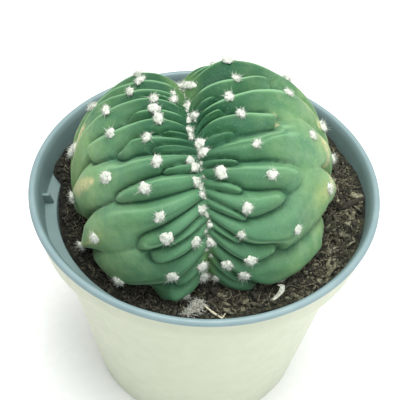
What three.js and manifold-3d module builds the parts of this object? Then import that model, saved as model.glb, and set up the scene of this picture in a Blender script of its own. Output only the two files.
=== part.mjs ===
// A crested cactus in a round plastic nursery pot filled with peat soil.
// Millimetres, +Z up. The origin is the middle of the pot's foot, -Y is the front and +X the right.

import * as THREE from 'three';
import { mergeVertices } from 'three/addons/utils/BufferGeometryUtils.js';
import Module from 'manifold-3d';

const wasm = await Module();
wasm.setup();

// Pot: the outside of its rolled rim is 130 mm across
const potHeight = 100;
const rimRadius = 65;
const rimBead = 1.35;
const collarInside = 61.3;
const collarWall = 1.4;
const collarDepth = 12;
const shoulderInside = 56.6;
const wallThickness = 1.3;
const footRadius = 45;
const footBevel = 1;
const floorThickness = 2;
const drainHoles = 6;
const drainHoleRadius = 3.5;
const drainCircle = 33;
const lugCount = 4;
const lugWidth = 8;
const lugReach = 3.4;
const lugHeight = 4.5;
const potEdge = 0.6;
const potSegments = 60;

// Loose bits on the soil at the front: [x, y, height above the lowest end] along each
const strawPath = [[2, -50, 0.4], [5.2, -52.4, 0.1], [8.2, -54.6, 0]];
const strawRadius = 0.42;
const flowerPath = [[0.6, -50.4, 1.6], [-1.2, -51.4, 1.1], [-3, -52.5, 0.4], [-4.6, -53.4, 0]];
const flowerRadii = [0.9, 1.5, 1.2, 1];
const petalPath = [[27.4, -42, 1.4], [27.6, -43.6, 2], [26.2, -45.4, 1.1], [24.4, -47.2, 0]];
const petalWidths = [0.4, 1.3, 1.3, 0.4];
const petalThickness = 0.35;

// Soil: its top rises to the right and to the back, and is lumpy away from the wall
const fit = 0.3;
const soilLevel = potHeight - 11.5;
const soilTilt = 0.078;
const soilSlope = 0.04;
const soilLump = 0.8;
const clodHeight = 0.5;
const clodPitch = 0.57;
const ledgeStep = 0.8;
const smoothRim = 53;

// Plant: a dome with its crest line running from back to front, turned a little about the vertical.
// Its skin is plain below the soil, and only bulges past the dome well above it.
const domeCentre = new THREE.Vector3(-6, 0.3, potHeight - 4.3);
const domeTurn = THREE.MathUtils.degToRad(12);
const domeLeft = 43.3;
const domeRight = 54.3;
const domeFront = 48.6;
const domeBack = 46.2;
const domeHeight = 41.4;
const domeBelow = 26;
const domeSquareness = 2.3;
const poleDip = 28;
const crestGroove = 8.5;
const grooveReach = 19;
const crestWidth = 2.8;
const longWidth = 5.2;
const longFurrow = 5.8;
const flankFurrow = 4.2;
const fingerFurrow = 5.6;
const shortFurrow = 4.4;
const fingerNose = 4.6;
const shortNose = 3.6;
const deepest = 7;
const skinGround = soilLevel - 3;
const plainBelow = 7;
const bulgeStarts = 4;
const bulgeWhole = 9;

// Wool tufts and spines
const tuftRadius = 2.1;
const tuftFlatness = 0.6;
const crestTuftRadius = 2.7;
const spineLength = 5;
const spineRoot = 0.6;
const spineRadius = 0.35;
const spineLeanLeast = 35;
const spineLeanSpread = 25;

// A rib's crest runs out from the crest line. Each place along it is [arc, angle], in degrees: the arc
// out from the crest line, and the angle about the plant's middle, from the top towards the front.
// Wide is half the rib's width where it is widest, and low is how far it lies below the plain dome.
// Tufts are the arcs of its wool tufts. Long ribs reach the soil, and the others end in a blunt nose.
function rib(reach, nose, furrow, width, places, tufts) {
  return { reach, nose, furrow, wide: width.wide, low: width.low, places, tufts };
}
const long = (places, tufts, width) =>
  rib(180, 0, longFurrow, { wide: 10.5, low: 0, ...width }, places, tufts);
const finger = (reach, places, tufts = [], width = {}) =>
  rib(reach, fingerNose, fingerFurrow, { wide: 4.6, low: 0, ...width }, places, tufts);
const short = (reach, places, tufts = []) =>
  rib(reach, shortNose, shortFurrow, { wide: 2.6, low: 0.6 }, places, tufts);

// Left and right ribs pair off along the crest line, from the back to the front
const backAngles = [-106, -94, -82, -70, -59, -48, -37];
function backRib(angle, index, lean, low) {
  const places = [[0, angle], [30, angle - lean], [60, angle + lean], [90, angle + 2 * lean]];
  if (index % 2 === 0) return long(places, [20, 48, 72], { low });
  return finger(34 + 3 * index, places, [24], { low });
}

const leftRibs = [
  ...backAngles.map((angle, index) => backRib(angle, index, 2, 0.8)),
  long([[0, -24], [21, -24], [50, -31], [70, -31], [90, -29]], [21, 47], { wide: 7, low: 1 }),
  long([[0, -13], [27, -15], [50, -23], [69, -21], [90, -20]], [27, 69], { wide: 5.5, low: 0.6 }),
  long([[0, -4], [40, -9], [60, -11], [81, -10], [95, -9]], [17, 40], { wide: 5.5 }),
  finger(34, [[0, 3], [18, 1], [33, 0], [50, -4], [66, -7], [90, -8]], [18]),
  finger(57, [[0, 11], [17, 7], [40, 5], [55, 2], [66, -1], [90, -5]], [17, 40]),
  finger(39, [[0, 20], [14, 18], [30, 14], [37, 16], [50, 10], [66, 5], [90, -2]], [23]),
  long([[0, 29], [20, 26], [46, 20], [66, 12], [90, 3]], [20, 43, 88], { wide: 6.5 }),
  finger(42, [[0, 41], [20, 36], [40, 33], [66, 29], [90, 22]], [26]),
  long([[0, 48], [21, 47], [40, 43], [56, 45], [72, 48], [90, 49]], [21, 56, 76], { wide: 7.5 }),
  finger(31, [[0, 54], [19, 56], [30, 55], [46, 52], [66, 54], [90, 56]], [19]),
  finger(27, [[0, 65], [24, 65], [46, 61], [66, 60], [90, 62]], [7]),
  long([[0, 73], [18, 77], [45, 74], [64, 68], [90, 68]], [18, 45], { wide: 8.5, low: -0.5 }),
  long([[0, 90], [23, 92], [50, 92], [90, 88]], [12], { wide: 8, low: -3 }),
];

const rightRibs = [
  ...backAngles.map((angle, index) => backRib(angle, index + 1, -2, -1.4)),
  long([[0, -28], [22, -28], [45, -27], [58, -23], [75, -21], [90, -20]], [22, 50], { wide: 7, low: -1 }),
  finger(46, [[0, -9], [7, -14], [24, -14], [40, -21], [60, -19], [70, -16], [90, -15]], [24], { wide: 5 }),
  short(16, [[0, -2], [6, -6], [14, -6], [24, -9], [46, -15], [60, -15], [70, -11], [90, -10]]),
  long(
    [[0, 5], [6, 1], [18, -1], [32, -6], [48, -10], [60, -11], [70, -5], [90, -3]],
    [18, 48, 69],
    { wide: 7, low: -0.5 },
  ),
  short(18, [[0, 12], [5, 6], [11, 4], [17, 4], [37, 0], [48, -4], [60, -6], [70, -1], [90, 1]]),
  finger(38, [[0, 19], [7, 11], [20, 9], [37, 7], [50, 4], [60, 2], [72, 2], [90, 4]], [21], { wide: 5.6 }),
  long([[0, 29], [10, 27], [24, 23], [34, 18], [50, 12], [72, 7], [90, 7]], [24, 54, 71], { wide: 7.5 }),
  finger(45, [[0, 38], [8, 37], [28, 34], [43, 30], [60, 22], [72, 16], [90, 14]], [8, 28], { wide: 5.4 }),
  finger(36, [[0, 48], [16, 49], [33, 41], [50, 33], [63, 27], [72, 21], [90, 20]], [16], { wide: 5 }),
  long(
    [[0, 58], [13, 60], [30, 57], [38, 53], [50, 41], [63, 33], [72, 27], [90, 26]],
    [13, 38, 63],
    { wide: 8.5, low: -0.5 },
  ),
  finger(31, [[0, 67], [15, 70], [30, 63], [50, 55], [64, 47], [90, 42]]),
  long([[0, 75], [12, 79], [35, 82], [50, 80], [64, 70], [90, 64]], [15, 35, 63], { wide: 9, low: -2.5 }),
  long([[0, 90], [17, 92], [35, 97], [60, 98], [90, 90]], [17], { wide: 8, low: -1 }),
];

const leftShortRibs = [
  short(23, [[0, -8], [10, -9], [24, -12]], [8]),
  short(18, [[0, 16], [7, 15], [18, 13]]),
  short(24, [[0, 25], [11, 22], [24, 20]]),
  short(20, [[0, 34], [12, 32], [21, 31]]),
  short(20, [[0, 60], [14, 60], [22, 60]]),
  short(16, [[0, 82], [10, 83], [18, 83]]),
];

const rightShortRibs = [
  short(18, [[0, 25], [6, 20], [13, 18], [18, 17]]),
  short(17, [[0, 34], [6, 32], [17, 31]]),
  short(16, [[0, 44], [8, 43], [16, 43]]),
  short(17, [[0, 53], [8, 53], [17, 54]]),
  short(16, [[0, 82], [8, 85], [17, 86]]),
  short(14, [[0, 63], [8, 64], [15, 65]]),
];

// Wool along the crest line itself, at these angles from the top towards the front
const crestWool = [-92, -74, -57, -41, -30, -20, -11, -4, 5, 11, 20, 28, 36, 44, 53, 60, 68, 77, 85, 91];

const ribRow = 4;
const arcSteps = 18;
const arcCrowding = 1.15;
const buriedRows = 12;

const degrees = THREE.MathUtils.degToRad;
const smooth = THREE.MathUtils.smoothstep;

const material = (color, roughness) => new THREE.MeshStandardMaterial({ color, roughness, metalness: 0 });

// A part's angle about the plant's middle, at an arc out from the crest line, by a smooth curve
function crestAngle(places, arc) {
  const last = places.length - 1;
  if (arc <= places[0][0]) return places[0][1];
  if (arc >= places[last][0]) return places[last][1];
  let step = 0;
  while (arc > places[step + 1][0]) step += 1;
  const slope = (index) => {
    const before = places[Math.max(index - 1, 0)];
    const after = places[Math.min(index + 1, last)];
    return (after[1] - before[1]) / (after[0] - before[0]);
  };
  const [startArc, startAngle] = places[step];
  const [endArc, endAngle] = places[step + 1];
  const span = endArc - startArc;
  const t = (arc - startArc) / span;
  const bend = t * t * (3 - 2 * t);
  const leave = slope(step) * span * t * (1 - t) * (1 - t);
  const arrive = slope(step + 1) * span * t * t * (1 - t);
  return startAngle + (endAngle - startAngle) * bend + leave - arrive;
}

// Straight out from the middle, at an angle along the crest and an arc towards the low pole of one side
function direction(side, angle, arc) {
  const crest = new THREE.Vector3(0, -Math.sin(degrees(angle)), Math.cos(degrees(angle)));
  const pole = new THREE.Vector3(side * Math.cos(degrees(poleDip)), 0, -Math.sin(degrees(poleDip)));
  const whole = crest.angleTo(pole);
  const turn = degrees(arc);
  const outward = pole.addScaledVector(crest, -Math.cos(whole)).divideScalar(Math.sin(whole));
  return crest.multiplyScalar(Math.cos(turn)).addScaledVector(outward, Math.sin(turn));
}

function wholeArc(angle) {
  return THREE.MathUtils.radToDeg(Math.acos(-Math.sin(degrees(poleDip)) * Math.cos(degrees(angle))));
}

// The plain dome that the rib crests touch, and that the hole in the soil follows
function domeRadius(way) {
  const across = Math.abs(way.x) / (way.x < 0 ? domeLeft : domeRight);
  const along = Math.abs(way.y) / (way.y < 0 ? domeFront : domeBack);
  const up = Math.abs(way.z) / (way.z < 0 ? domeBelow : domeHeight);
  const sum = across ** domeSquareness + along ** domeSquareness + up ** domeSquareness;
  return sum ** (-1 / domeSquareness);
}

// Half a rib's width: narrow by the crest line, and widest down the flank
function halfWidth(one, arc) {
  const opened = smooth(arc, 8, 26);
  if (one.nose) return THREE.MathUtils.lerp(Math.min(crestWidth, one.wide), one.wide, opened);
  const shoulder = THREE.MathUtils.lerp(crestWidth, longWidth, opened);
  return shoulder + (one.wide - longWidth) * smooth(arc, 26, 75);
}

// How far the skin lies below the dome by one rib, at a distance in millimetres to the side of its crest:
// a plump round top with steep sides, and a slight ridge along the top near the crest line
function belowRib(one, arc, aside, perArc) {
  const steepest = 0.9;
  const slope = steepest / Math.sqrt(1 - steepest ** 2);
  const shallower = one.nose ? 0 : smooth(arc, 28, 60);
  const furrow = THREE.MathUtils.lerp(one.furrow, flankFurrow, shallower);
  const beyond = one.nose ? Math.max((arc - one.reach) * perArc + one.nose, 0) / one.nose : 0;
  const u = Math.hypot(aside / halfWidth(one, arc), beyond);
  const inside = Math.min(u, steepest);
  const round = 1 - Math.sqrt(1 - inside ** 2) + (u - inside) * slope;
  const ridge = 0.25 * (1 - smooth(arc, 35, 65));
  return one.low * smooth(arc, 3, 24) + furrow * THREE.MathUtils.lerp(round, u, ridge);
}

function surfacePoint(side, angle, arc) {
  const way = direction(side, angle, arc);
  const radius = domeRadius(way);
  const perArc = degrees(radius);
  const whole = wholeArc(angle);
  const perDegree = perArc * Math.sin(degrees(whole - arc)) / Math.sin(degrees(whole));
  const ribs = side < 0 ? [...leftRibs, ...leftShortRibs] : [...rightRibs, ...rightShortRibs];
  const aside = (one) => (angle - crestAngle(one.places, arc)) * perDegree;
  const relief = Math.min(...ribs.map((one) => belowRib(one, arc, aside(one), perArc)), deepest);
  const groove = crestGroove * Math.max(1 - perArc * arc / grooveReach, 0) ** 2;
  const height = way.z * radius + domeCentre.z;
  const ground = skinGround + radius * (way.x * soilTilt + way.y * soilSlope);
  const bulge = relief < 0 ? smooth(height, ground + bulgeStarts, ground + bulgeWhole) : 1;
  const shown = smooth(height, skinGround - plainBelow, ground);
  const depth = (relief * bulge * smooth(arc, -4, 7) + groove) * shown;
  return way.multiplyScalar(radius - depth);
}

// From the plant's own frame to the pot's
function place(point) {
  return point.applyAxisAngle(new THREE.Vector3(0, 0, 1), domeTurn).add(domeCentre);
}

// Rows of the plant's skin follow the rib crests: whole numbers are ribs, and buried rows go round below
function rowAngle(ribs, row, arc) {
  const count = ribs.length;
  const index = Math.floor(row);
  const part = row - index;
  const angle = (which) => crestAngle(ribs[which].places, arc);
  if (index < count - 1) return THREE.MathUtils.lerp(angle(index), angle(index + 1), part);
  return THREE.MathUtils.lerp(angle(count - 1), angle(0) + 360, row - (count - 1));
}

function bodyGeometry() {
  const rows = [];
  for (let index = 0; index < leftRibs.length - 1; index += 1) {
    for (let part = 0; part < ribRow; part += 1) rows.push(index + part / ribRow);
  }
  for (let part = 0; part < buriedRows; part += 1) rows.push(leftRibs.length - 1 + part / buriedRows);

  const positions = [];
  const add = (point) => {
    positions.push(...place(point).toArray());
    return positions.length / 3 - 1;
  };
  const crestRow = (row) => (rowAngle(leftRibs, row, 0) + rowAngle(rightRibs, row, 0)) / 2;
  const crest = rows.map((row) => add(surfacePoint(1, crestRow(row), 0)));
  const triangles = [];
  for (const side of [-1, 1]) {
    const ribs = side < 0 ? leftRibs : rightRibs;
    const grid = rows.map((row, rowIndex) => {
      const line = [crest[rowIndex]];
      for (let step = 1; step < arcSteps; step += 1) {
        const share = (step / arcSteps) ** arcCrowding;
        const level = crestRow(row);
        const arc = share * wholeArc(rowAngle(ribs, row, 90));
        const angle = THREE.MathUtils.lerp(level, rowAngle(ribs, row, arc), smooth(arc, 0, 5));
        line.push(add(surfacePoint(side, angle, share * wholeArc(angle))));
      }
      return line;
    });
    const pole = add(surfacePoint(side, 0, wholeArc(0) - 0.01));
    for (let row = 0; row < rows.length; row += 1) {
      const here = grid[row];
      const next = grid[(row + 1) % rows.length];
      for (let step = 0; step < arcSteps - 1; step += 1) {
        const quad = [here[step], next[step], next[step + 1], here[step + 1]];
        if (side > 0) triangles.push(quad[0], quad[1], quad[2], quad[0], quad[2], quad[3]);
        else triangles.push(quad[0], quad[2], quad[1], quad[0], quad[3], quad[2]);
      }
      const tip = [here[arcSteps - 1], next[arcSteps - 1], pole];
      triangles.push(...(side > 0 ? tip : tip.reverse()));
    }
  }
  const geometry = new THREE.BufferGeometry();
  geometry.setAttribute('position', new THREE.Float32BufferAttribute(positions, 3));
  geometry.setIndex(triangles);
  return geometry;
}

// Closed meshes to solids and back, for joins and cuts
function toSolid(geometry) {
  const bare = geometry.clone();
  bare.deleteAttribute('normal');
  bare.deleteAttribute('uv');
  const merged = mergeVertices(bare, 1e-4);
  const mesh = new wasm.Mesh({
    numProp: 3,
    vertProperties: new Float32Array(merged.attributes.position.array),
    triVerts: new Uint32Array(merged.index.array),
  });
  return new wasm.Manifold(mesh);
}

function toGeometry(solid) {
  const mesh = solid.getMesh();
  const geometry = new THREE.BufferGeometry();
  geometry.setAttribute('position', new THREE.BufferAttribute(new Float32Array(mesh.vertProperties), 3));
  geometry.setIndex(new THREE.BufferAttribute(new Uint32Array(mesh.triVerts), 1));
  geometry.computeVertexNormals();
  return geometry;
}

// A seeded draw between 0 and 1
function makeRandom(seed) {
  let state = seed;
  return () => {
    state = (state * 1664525 + 1013904223) % 4294967296;
    return state / 4294967296;
  };
}

// A low tuft of wool with its middle on the skin, and a stiff spine leaning out of it, clear of the soil
function tuftSolids(side, angle, arc, radius, hasSpine, random) {
  const root = surfacePoint(side, angle, arc);
  const normal = root.clone().normalize();
  const sits = place(root.clone());
  const clear = sits.z - soilHeight(sits.x, sits.y, 1);
  if (clear < radius + fit) return [];
  const up = normal.applyAxisAngle(new THREE.Vector3(0, 0, 1), domeTurn);
  const stand = new THREE.Quaternion().setFromUnitVectors(new THREE.Vector3(0, 0, 1), up);
  const turn = new THREE.Quaternion().setFromAxisAngle(new THREE.Vector3(0, 0, 1), random() * Math.PI);
  const wool = new THREE.IcosahedronGeometry(radius, 0);
  wool.scale(1, 1, tuftFlatness);
  wool.applyQuaternion(turn).applyQuaternion(stand).translate(sits.x, sits.y, sits.z);
  const solids = [toSolid(wool)];
  if (hasSpine && clear > spineLength + fit) {
    const cone = new THREE.ConeGeometry(spineRadius, spineLength, 3);
    cone.rotateX(Math.PI / 2).translate(0, 0, spineLength / 2 - spineRoot);
    cone.rotateY(degrees(spineLeanLeast + spineLeanSpread * random())).rotateZ(random() * 2 * Math.PI);
    cone.applyQuaternion(stand).translate(sits.x, sits.y, sits.z);
    solids.push(toSolid(cone));
  }
  return solids;
}

function plantGeometry() {
  const random = makeRandom(7);
  const solids = [toSolid(bodyGeometry())];
  for (const [side, ribs] of [[-1, leftRibs], [-1, leftShortRibs], [1, rightRibs], [1, rightShortRibs]]) {
    for (const one of ribs) {
      for (const arc of one.tufts) {
        const angle = crestAngle(one.places, arc);
        solids.push(...tuftSolids(side, angle, arc, tuftRadius, true, random));
      }
    }
  }
  for (const angle of crestWool) {
    const side = random() < 0.5 ? -1 : 1;
    solids.push(...tuftSolids(side, angle, 0.5 + 2 * random(), crestTuftRadius, false, random));
  }
  // A tuft can close off a small hollow over a crease: only the outer skin is kept
  const skins = wasm.Manifold.union(solids).decompose();
  return toGeometry(skins.reduce((best, skin) => (skin.volume() > best.volume() ? skin : best)));
}

function potGeometry() {
  const beadMiddle = rimRadius - rimBead;
  const beadFoot = potHeight - 2.2 * rimBead;
  const beadSteps = 6;
  const ledge = potHeight - collarDepth;
  const shoulder = ledge - wallThickness;
  const outline = [
    [0, 0],
    [footRadius - footBevel, 0],
    [footRadius, footBevel],
    [shoulderInside + wallThickness, shoulder - potEdge],
    [shoulderInside + wallThickness + potEdge, shoulder],
    [collarInside + collarWall - potEdge, shoulder],
    [collarInside + collarWall, shoulder + potEdge],
    [collarInside + collarWall, beadFoot],
  ];
  for (let step = 0; step <= beadSteps; step += 1) {
    const turn = degrees(-54 + 216 * step / beadSteps);
    outline.push([beadMiddle + rimBead * Math.cos(turn), potHeight - rimBead + rimBead * Math.sin(turn)]);
  }
  outline.push(
    [collarInside, beadFoot],
    [collarInside, ledge + potEdge],
    [collarInside - potEdge, ledge],
    [shoulderInside, ledge],
    [footRadius - wallThickness, floorThickness],
    [0, floorThickness],
  );
  const shell = new THREE.LatheGeometry(outline.map(([r, z]) => new THREE.Vector2(r, z)), potSegments);
  shell.rotateX(Math.PI / 2);
  let solid = toSolid(shell);
  for (let hole = 0; hole < drainHoles; hole += 1) {
    const turn = (hole + 0.5) * 2 * Math.PI / drainHoles;
    const drill = new THREE.CylinderGeometry(drainHoleRadius, drainHoleRadius, 4 * floorThickness, 16);
    drill.rotateX(Math.PI / 2).translate(drainCircle * Math.cos(turn), drainCircle * Math.sin(turn), 0);
    solid = solid.subtract(toSolid(drill));
  }
  for (let lug = 0; lug < lugCount; lug += 1) solid = solid.add(toSolid(lugBox(lug, 0)));
  return toGeometry(solid);
}

// A small block that stands on the shoulder against the collar; with a margin, the space it keeps
function lugBox(lug, margin) {
  const sunk = 0.5;
  const reach = lugReach + sunk + margin;
  const height = lugHeight + sunk + margin;
  const block = new THREE.BoxGeometry(reach, lugWidth + 2 * margin, height);
  block.translate(collarInside + sunk - reach / 2, 0, potHeight - collarDepth - sunk + height / 2);
  return block.rotateZ(lug * 2 * Math.PI / lugCount);
}

// The height of the soil, with small lumps that die out before the pot's wall
function soilHeight(x, y, lump) {
  const radius = Math.hypot(x, y);
  const plain = soilLevel + soilTilt * x + soilSlope * y;
  const ledge = potHeight - collarDepth;
  if (radius > smoothRim && plain > ledge - 0.1) return Math.max(plain, ledge + fit + ledgeStep);
  if (radius > smoothRim) return Math.min(plain, ledge - ledgeStep / 2);
  const clods = clodHeight * Math.sin(clodPitch * x + 1) * Math.sin(clodPitch * y);
  return plain + clods + lump * soilLump;
}

// The ground under the uneven top: a fan of rings, closed by a wall and a flat underside
function groundGeometry() {
  const random = makeRandom(11);
  const rings = [14, 27, 36, 41, 46, 49.5, smoothRim, 55, 58, 62, 68];
  const around = potSegments;
  const bottom = -5;
  const positions = [0, 0, soilHeight(0, 0, 0), 0, 0, bottom];
  const ring = (radius, height) => {
    const start = positions.length / 3;
    for (let step = 0; step < around; step += 1) {
      const turn = step * 2 * Math.PI / around;
      const x = radius * Math.cos(turn);
      const y = radius * Math.sin(turn);
      positions.push(x, y, height ?? soilHeight(x, y, 2 * random() - 1));
    }
    return start;
  };
  const starts = rings.map((radius) => ring(radius));
  starts.push(ring(rings[rings.length - 1], bottom));
  const triangles = [];
  for (let step = 0; step < around; step += 1) {
    const next = (step + 1) % around;
    triangles.push(0, starts[0] + step, starts[0] + next);
    for (let index = 0; index < starts.length - 1; index += 1) {
      const [inner, outer] = [starts[index], starts[index + 1]];
      triangles.push(inner + step, outer + step, outer + next, inner + step, outer + next, inner + next);
    }
    const under = starts[starts.length - 1];
    triangles.push(1, under + next, under + step);
  }
  const geometry = new THREE.BufferGeometry();
  geometry.setAttribute('position', new THREE.Float32BufferAttribute(positions, 3));
  geometry.setIndex(triangles);
  return geometry;
}

// The plain hole that the plant's buried part stands in
function holeGeometry() {
  const hole = new THREE.SphereGeometry(1, 48, 24);
  const spots = hole.attributes.position;
  const margin = 2 * fit;
  for (let index = 0; index < spots.count; index += 1) {
    const way = new THREE.Vector3().fromBufferAttribute(spots, index).normalize();
    const spot = place(way.multiplyScalar(domeRadius(way) + margin));
    spots.setXYZ(index, spot.x, spot.y, spot.z);
  }
  return hole;
}

function soilGeometry() {
  const foot = footRadius - wallThickness - fit;
  const ledge = potHeight - collarDepth;
  const outline = [
    [0, floorThickness + fit],
    [foot, floorThickness + fit],
    [shoulderInside - fit, ledge - fit],
    [shoulderInside - fit, ledge + fit],
    [collarInside - 2 * fit, ledge + fit],
    [collarInside - fit, ledge + fit + potEdge],
    [collarInside - fit, potHeight],
    [0, potHeight],
  ];
  const body = new THREE.LatheGeometry(outline.map(([r, z]) => new THREE.Vector2(r, z)), potSegments);
  body.rotateX(Math.PI / 2);
  let solid = toSolid(body).intersect(toSolid(groundGeometry()));
  for (let lug = 0; lug < lugCount; lug += 1) solid = solid.subtract(toSolid(lugBox(lug, fit)));
  return toGeometry(solid.subtract(toSolid(holeGeometry())));
}

// A closed bent rod: its half width and half thickness at each place along its path
function bentRod(path, widths, thicknesses, sides, steps) {
  const curve = new THREE.CatmullRomCurve3(path.map((spot) => new THREE.Vector3(...spot)));
  const at = (list, share) => {
    const spot = share * (list.length - 1);
    const index = Math.min(Math.floor(spot), list.length - 2);
    return THREE.MathUtils.lerp(list[index], list[index + 1], spot - index);
  };
  const positions = [...curve.getPoint(0).toArray(), ...curve.getPoint(1).toArray()];
  const triangles = [];
  for (let step = 0; step <= steps; step += 1) {
    const share = step / steps;
    const middle = curve.getPoint(share);
    const along = curve.getTangent(share);
    const across = new THREE.Vector3(-along.y, along.x, 0).normalize();
    const up = new THREE.Vector3().crossVectors(along, across);
    for (let side = 0; side < sides; side += 1) {
      const turn = side * 2 * Math.PI / sides;
      const spot = middle.clone();
      spot.addScaledVector(across, at(widths, share) * Math.cos(turn));
      spot.addScaledVector(up, at(thicknesses, share) * Math.sin(turn));
      positions.push(...spot.toArray());
      const here = 2 + step * sides + side;
      const beside = 2 + step * sides + (side + 1) % sides;
      if (step === 0) triangles.push(0, beside, here);
      else triangles.push(here - sides, beside - sides, beside, here - sides, beside, here);
      if (step === steps) triangles.push(1, here, beside);
    }
  }
  const geometry = new THREE.BufferGeometry();
  geometry.setAttribute('position', new THREE.Float32BufferAttribute(positions, 3));
  geometry.setIndex(triangles);
  geometry.translate(0, 0, potHeight);
  return geometry;
}

// Lowers a loose bit until it lies just above the soil
function settle(geometry, ground) {
  const ray = new THREE.Raycaster();
  const spots = geometry.attributes.position;
  let clear = Infinity;
  for (let index = 0; index < spots.count; index += 1) {
    ray.set(new THREE.Vector3().fromBufferAttribute(spots, index), new THREE.Vector3(0, 0, -1));
    const hit = ray.intersectObject(ground)[0];
    if (hit) clear = Math.min(clear, hit.distance);
  }
  geometry.translate(0, 0, fit - clear);
  geometry.computeVertexNormals();
  return geometry;
}

const part = new THREE.Group();

function addPart(name, geometry, look) {
  const mesh = new THREE.Mesh(geometry, look);
  mesh.name = name;
  part.add(mesh);
  return mesh;
}

addPart('pot', potGeometry(), material('#8fa9a8', 0.45));
const soil = addPart('soil', soilGeometry(), material('#3b2a20', 0.95));
addPart('crested_cactus', plantGeometry(), material('#5f9a6a', 0.55));

const straw = bentRod(strawPath, [strawRadius, strawRadius], [strawRadius, strawRadius], 6, 5);
addPart('dry_straw', settle(straw, soil), material('#cfc6b0', 0.8));
const flower = bentRod(flowerPath, flowerRadii, flowerRadii, 7, 6);
addPart('dried_flower', settle(flower, soil), material('#b9b4ac', 0.95));
const petal = bentRod(petalPath, petalWidths, [petalThickness, petalThickness], 6, 8);
addPart('dried_petal', settle(petal, soil), material('#a9a79a', 0.6));

export default part;
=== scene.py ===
import math

import bmesh
import bpy
import numpy as np
from mathutils import Matrix, Vector, noise


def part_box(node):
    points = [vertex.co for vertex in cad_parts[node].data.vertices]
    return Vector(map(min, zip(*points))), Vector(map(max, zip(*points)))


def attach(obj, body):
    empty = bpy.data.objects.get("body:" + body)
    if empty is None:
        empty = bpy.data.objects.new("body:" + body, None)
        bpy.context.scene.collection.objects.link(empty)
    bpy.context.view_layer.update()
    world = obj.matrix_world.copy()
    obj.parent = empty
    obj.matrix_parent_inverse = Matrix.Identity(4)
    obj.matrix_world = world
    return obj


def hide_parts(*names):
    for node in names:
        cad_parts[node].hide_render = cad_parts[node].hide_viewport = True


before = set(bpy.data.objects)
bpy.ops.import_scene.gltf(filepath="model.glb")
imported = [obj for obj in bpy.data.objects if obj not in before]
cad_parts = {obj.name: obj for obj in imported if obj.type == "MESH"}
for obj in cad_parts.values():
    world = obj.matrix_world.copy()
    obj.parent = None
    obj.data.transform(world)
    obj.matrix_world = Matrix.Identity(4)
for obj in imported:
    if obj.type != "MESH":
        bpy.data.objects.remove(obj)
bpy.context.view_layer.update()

MM = 0.001

# The camera looks down into the pot from the front, about 30 cm away, as the photographer did. Its lens,
# its tilt and its small roll make the pot's rim the same ellipse as in the photograph.
camera_lift = math.radians(47.11)
camera_roll = math.radians(2.87)
camera_distance = 300 * MM
camera_aside = -1.48 * MM
camera_down = -8.24 * MM
lens_length = 72.66
sensor_width = 36
nearest_seen = 10 * MM

rim_centre = Vector((0, 0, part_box("pot")[1].z))
camera_back = Vector((0, -math.cos(camera_lift), math.sin(camera_lift)))
camera_right = Vector((1, 0, 0))
camera_up = camera_back.cross(camera_right)
camera_turn = Matrix((camera_right, camera_up, camera_back)).transposed()
camera_turn = camera_turn @ Matrix.Rotation(camera_roll, 3, "Z")
camera_place = rim_centre + camera_aside * camera_right + camera_down * camera_up
camera_place += camera_distance * camera_back
camera_data = bpy.data.cameras.new("camera")
camera_data.lens = lens_length
camera_data.sensor_width = sensor_width
camera_data.clip_start = nearest_seen
camera = bpy.data.objects.new("camera", camera_data)
camera.matrix_world = Matrix.Translation(camera_place) @ camera_turn.to_4x4()
bpy.context.scene.collection.objects.link(camera)
bpy.context.scene.camera = camera
bpy.context.scene.view_settings.view_transform = "Standard"

# Soft studio light: an even pale surround, a wide lamp above the plant, and a weaker one in front at
# the right.
surround_colour = (0.97, 1.0, 1.0)
surround_strength = 0.85
lamps = [
    {"name": "key_lamp", "place": (0.03, 0.03, 0.68), "size": 0.34, "power": 3.6, "colour": (1, 0.99, 0.95)},
    {"name": "side_lamp", "place": (0.42, -0.3, 0.5), "size": 0.5, "power": 1.6, "colour": (0.97, 0.99, 1)},
]
lamp_target = Vector((0, 0, 0.1))

world = bpy.data.worlds.new("surround")
world.use_nodes = True
world.node_tree.nodes["Background"].inputs["Color"].default_value = (*surround_colour, 1)
world.node_tree.nodes["Background"].inputs["Strength"].default_value = surround_strength
bpy.context.scene.world = world
for lamp in lamps:
    lamp_data = bpy.data.lights.new(lamp["name"], "AREA")
    lamp_data.energy = lamp["power"]
    lamp_data.size = lamp["size"]
    lamp_data.color = lamp["colour"]
    lamp_object = bpy.data.objects.new(lamp["name"], lamp_data)
    lamp_object.location = lamp["place"]
    lamp_object.rotation_euler = (lamp_object.location - lamp_target).to_track_quat("Z", "Y").to_euler()
    bpy.context.scene.collection.objects.link(lamp_object)


# The floor is a plain white studio sheet with a faint grain. It stands in for the white background of
# the photograph.
def shader(look):
    """The shader of a material."""
    return look.node_tree.nodes["Principled BSDF"]


def new_material(name, roughness):
    """A material with a shader of its own."""
    made = bpy.data.materials.new(name)
    made.use_nodes = True
    shader(made).inputs["Roughness"].default_value = roughness
    return made


def new_object(name, vertices, faces, look, smooth_faces=True):
    """A mesh object in the row frame, from arrays or lists of vertices and faces."""
    mesh = bpy.data.meshes.new(name)
    mesh.from_pydata(np.asarray(vertices, float).tolist(), [], [list(face) for face in faces])
    mesh.polygons.foreach_set("use_smooth", [smooth_faces] * len(mesh.polygons))
    mesh.materials.append(look)
    mesh.update()
    made = bpy.data.objects.new(name, mesh)
    bpy.context.scene.collection.objects.link(made)
    return made


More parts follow.
